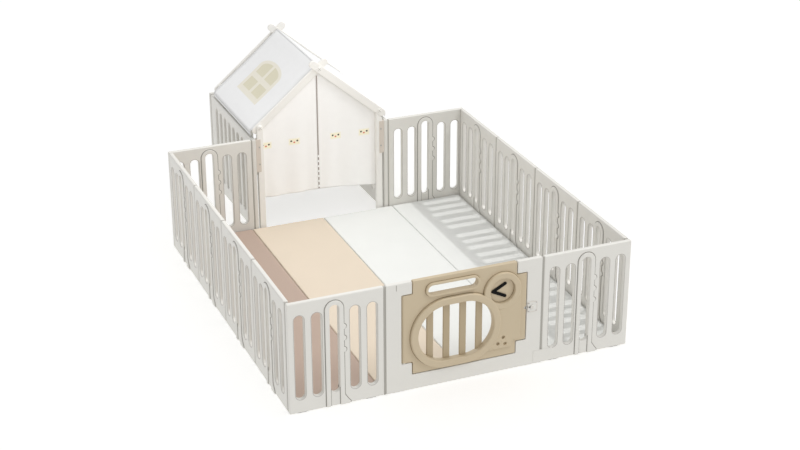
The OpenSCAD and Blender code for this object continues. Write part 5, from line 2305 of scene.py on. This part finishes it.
@dataclass
class Studio:
    """Pale floor, soft light from all round, a low sun from the right, and the camera."""

    floor_half: float = 30.0
    sky: float = 0.68
    sun: float = 0.95
    front: float = 0.70
    glow: float = 0.40
    globe: float = 13.0
    globe_place: tuple[float, float, float] = (-0.2, -0.35, 1.45)
    sun_height: float = 59.0
    sun_round: float = 90.0
    front_height: float = 52.0
    front_round: float = 48.0
    front_spread: float = 22.0
    camera: tuple[float, float, float] = (-3.224, -8.444, 4.378)
    azimuth: float = -22.465
    elevation: float = 24.617
    roll: float = -0.165
    lens: float = 75.9

    def build(self) -> None:
        """Builds the floor, the lights and the camera."""
        self.build_floor()
        self.build_light()
        self.build_camera()
        bpy.context.scene.view_settings.view_transform = "Standard"
        bpy.context.scene.view_settings.look = "None"

    def build_floor(self) -> None:
        """A wide pale floor with a faint unevenness."""
        material, tree = blank("painted_studio_floor")
        place = add(tree, "ShaderNodeTexCoord").outputs["Object"]
        cloud = add(tree, "ShaderNodeTexNoise", {"Vector": place, "Scale": 0.7, "Detail": 2.0})
        tones = {"A": linear("#F6F6F5"), "B": linear("#FBFBFA")}
        tint = add(tree, "ShaderNodeMix", {"Factor": cloud, **tones}, data_type="RGBA").outputs["Result"]
        glow = {"Emission Color": (1.0, 1.0, 1.0, 1.0), "Emission Strength": self.glow}
        shaded(material, {"Base Color": tint, "Roughness": 0.9, **glow})
        h = self.floor_half
        mesh = bpy.data.meshes.new("floor")
        mesh.from_pydata([(-h, -h, 0), (h, -h, 0), (h, h, 0), (-h, h, 0)], [], [(0, 1, 2, 3)])
        mesh.transform(at(0, 0, -0.0002))
        mesh.materials.append(material)
        floor = link(mesh, "studio_floor")
        self.left_out = bpy.data.collections.new("left_out_of_lamps")
        self.left_out.objects.link(floor)
        self.left_out.collection_objects[0].light_linking.link_state = "EXCLUDE"

    def build_light(self) -> None:
        """An even bright sky and a sun that comes over the right wall."""
        world = bpy.data.worlds.new("studio_sky")
        world.use_nodes = True
        background = world.node_tree.nodes["Background"]
        background.inputs["Color"].default_value = (1.0, 1.0, 1.0, 1.0)
        background.inputs["Strength"].default_value = self.sky
        bpy.context.scene.world = world
        self.lamp("studio_sun", self.sun, 1.5, self.sun_round, self.sun_height)
        self.lamp("studio_front", self.front, self.front_spread, self.front_round, self.front_height)
        globe = bpy.data.lights.new("studio_globe", "POINT")
        globe.energy, globe.shadow_soft_size = self.globe, 0.4
        over = link(globe, "studio_globe")
        over.matrix_world = at(*self.globe_place)
        over.visible_camera = False
        over.light_linking.receiver_collection = self.left_out

    def lamp(self, name: str, power: float, spread: float, azimuth: float, elevation: float) -> None:
        """A distant lamp that lights the playpen and leaves the floor to the sky.

        Args:
            name: Name of the lamp.
            power: Strength in watts per square metre.
            spread: How wide it looks, in degrees: wide lamps cast soft shadows.
            azimuth: Direction it comes from, 0 from the front and 90 from the right.
            elevation: Height that it comes from, in degrees.
        """
        data = bpy.data.lights.new(name, "SUN")
        data.energy = power
        data.angle = math.radians(spread)
        holder = link(data, name)
        a, e = math.radians(azimuth), math.radians(elevation)
        source = Vector((math.sin(a) * math.cos(e), -math.cos(a) * math.cos(e), math.sin(e)))
        holder.rotation_mode = "QUATERNION"
        holder.rotation_quaternion = source.to_track_quat("Z", "Y")
        holder.light_linking.receiver_collection = self.left_out

    def build_camera(self) -> None:
        """The camera, level but for a slight roll."""
        data = bpy.data.cameras.new("studio_camera")
        data.lens = self.lens
        data.sensor_width = 36.0
        data.clip_end = 200.0
        holder = link(data, "studio_camera")
        a, e = math.radians(self.azimuth), math.radians(self.elevation)
        back = Vector((math.sin(a) * math.cos(e), -math.cos(a) * math.cos(e), math.sin(e)))
        look = (-back).to_track_quat("-Z", "Y").to_matrix().to_4x4()
        holder.matrix_world = at(*self.camera) @ look @ Matrix.Rotation(math.radians(self.roll), 4, "Z")
        bpy.context.scene.camera = holder


def main() -> None:
    """Builds the playpen, its house and its mat, then the studio round them."""
    logging.basicConfig(level=logging.INFO, format="%(name)s: %(message)s")
    PenWalls().build()
    Gate().build()
    house = HouseFrame()
    house.build()
    Roof(house).build()
    Curtains(house).build()
    Mat().build()
    Studio().build()


if __name__ == "__main__":
    main()
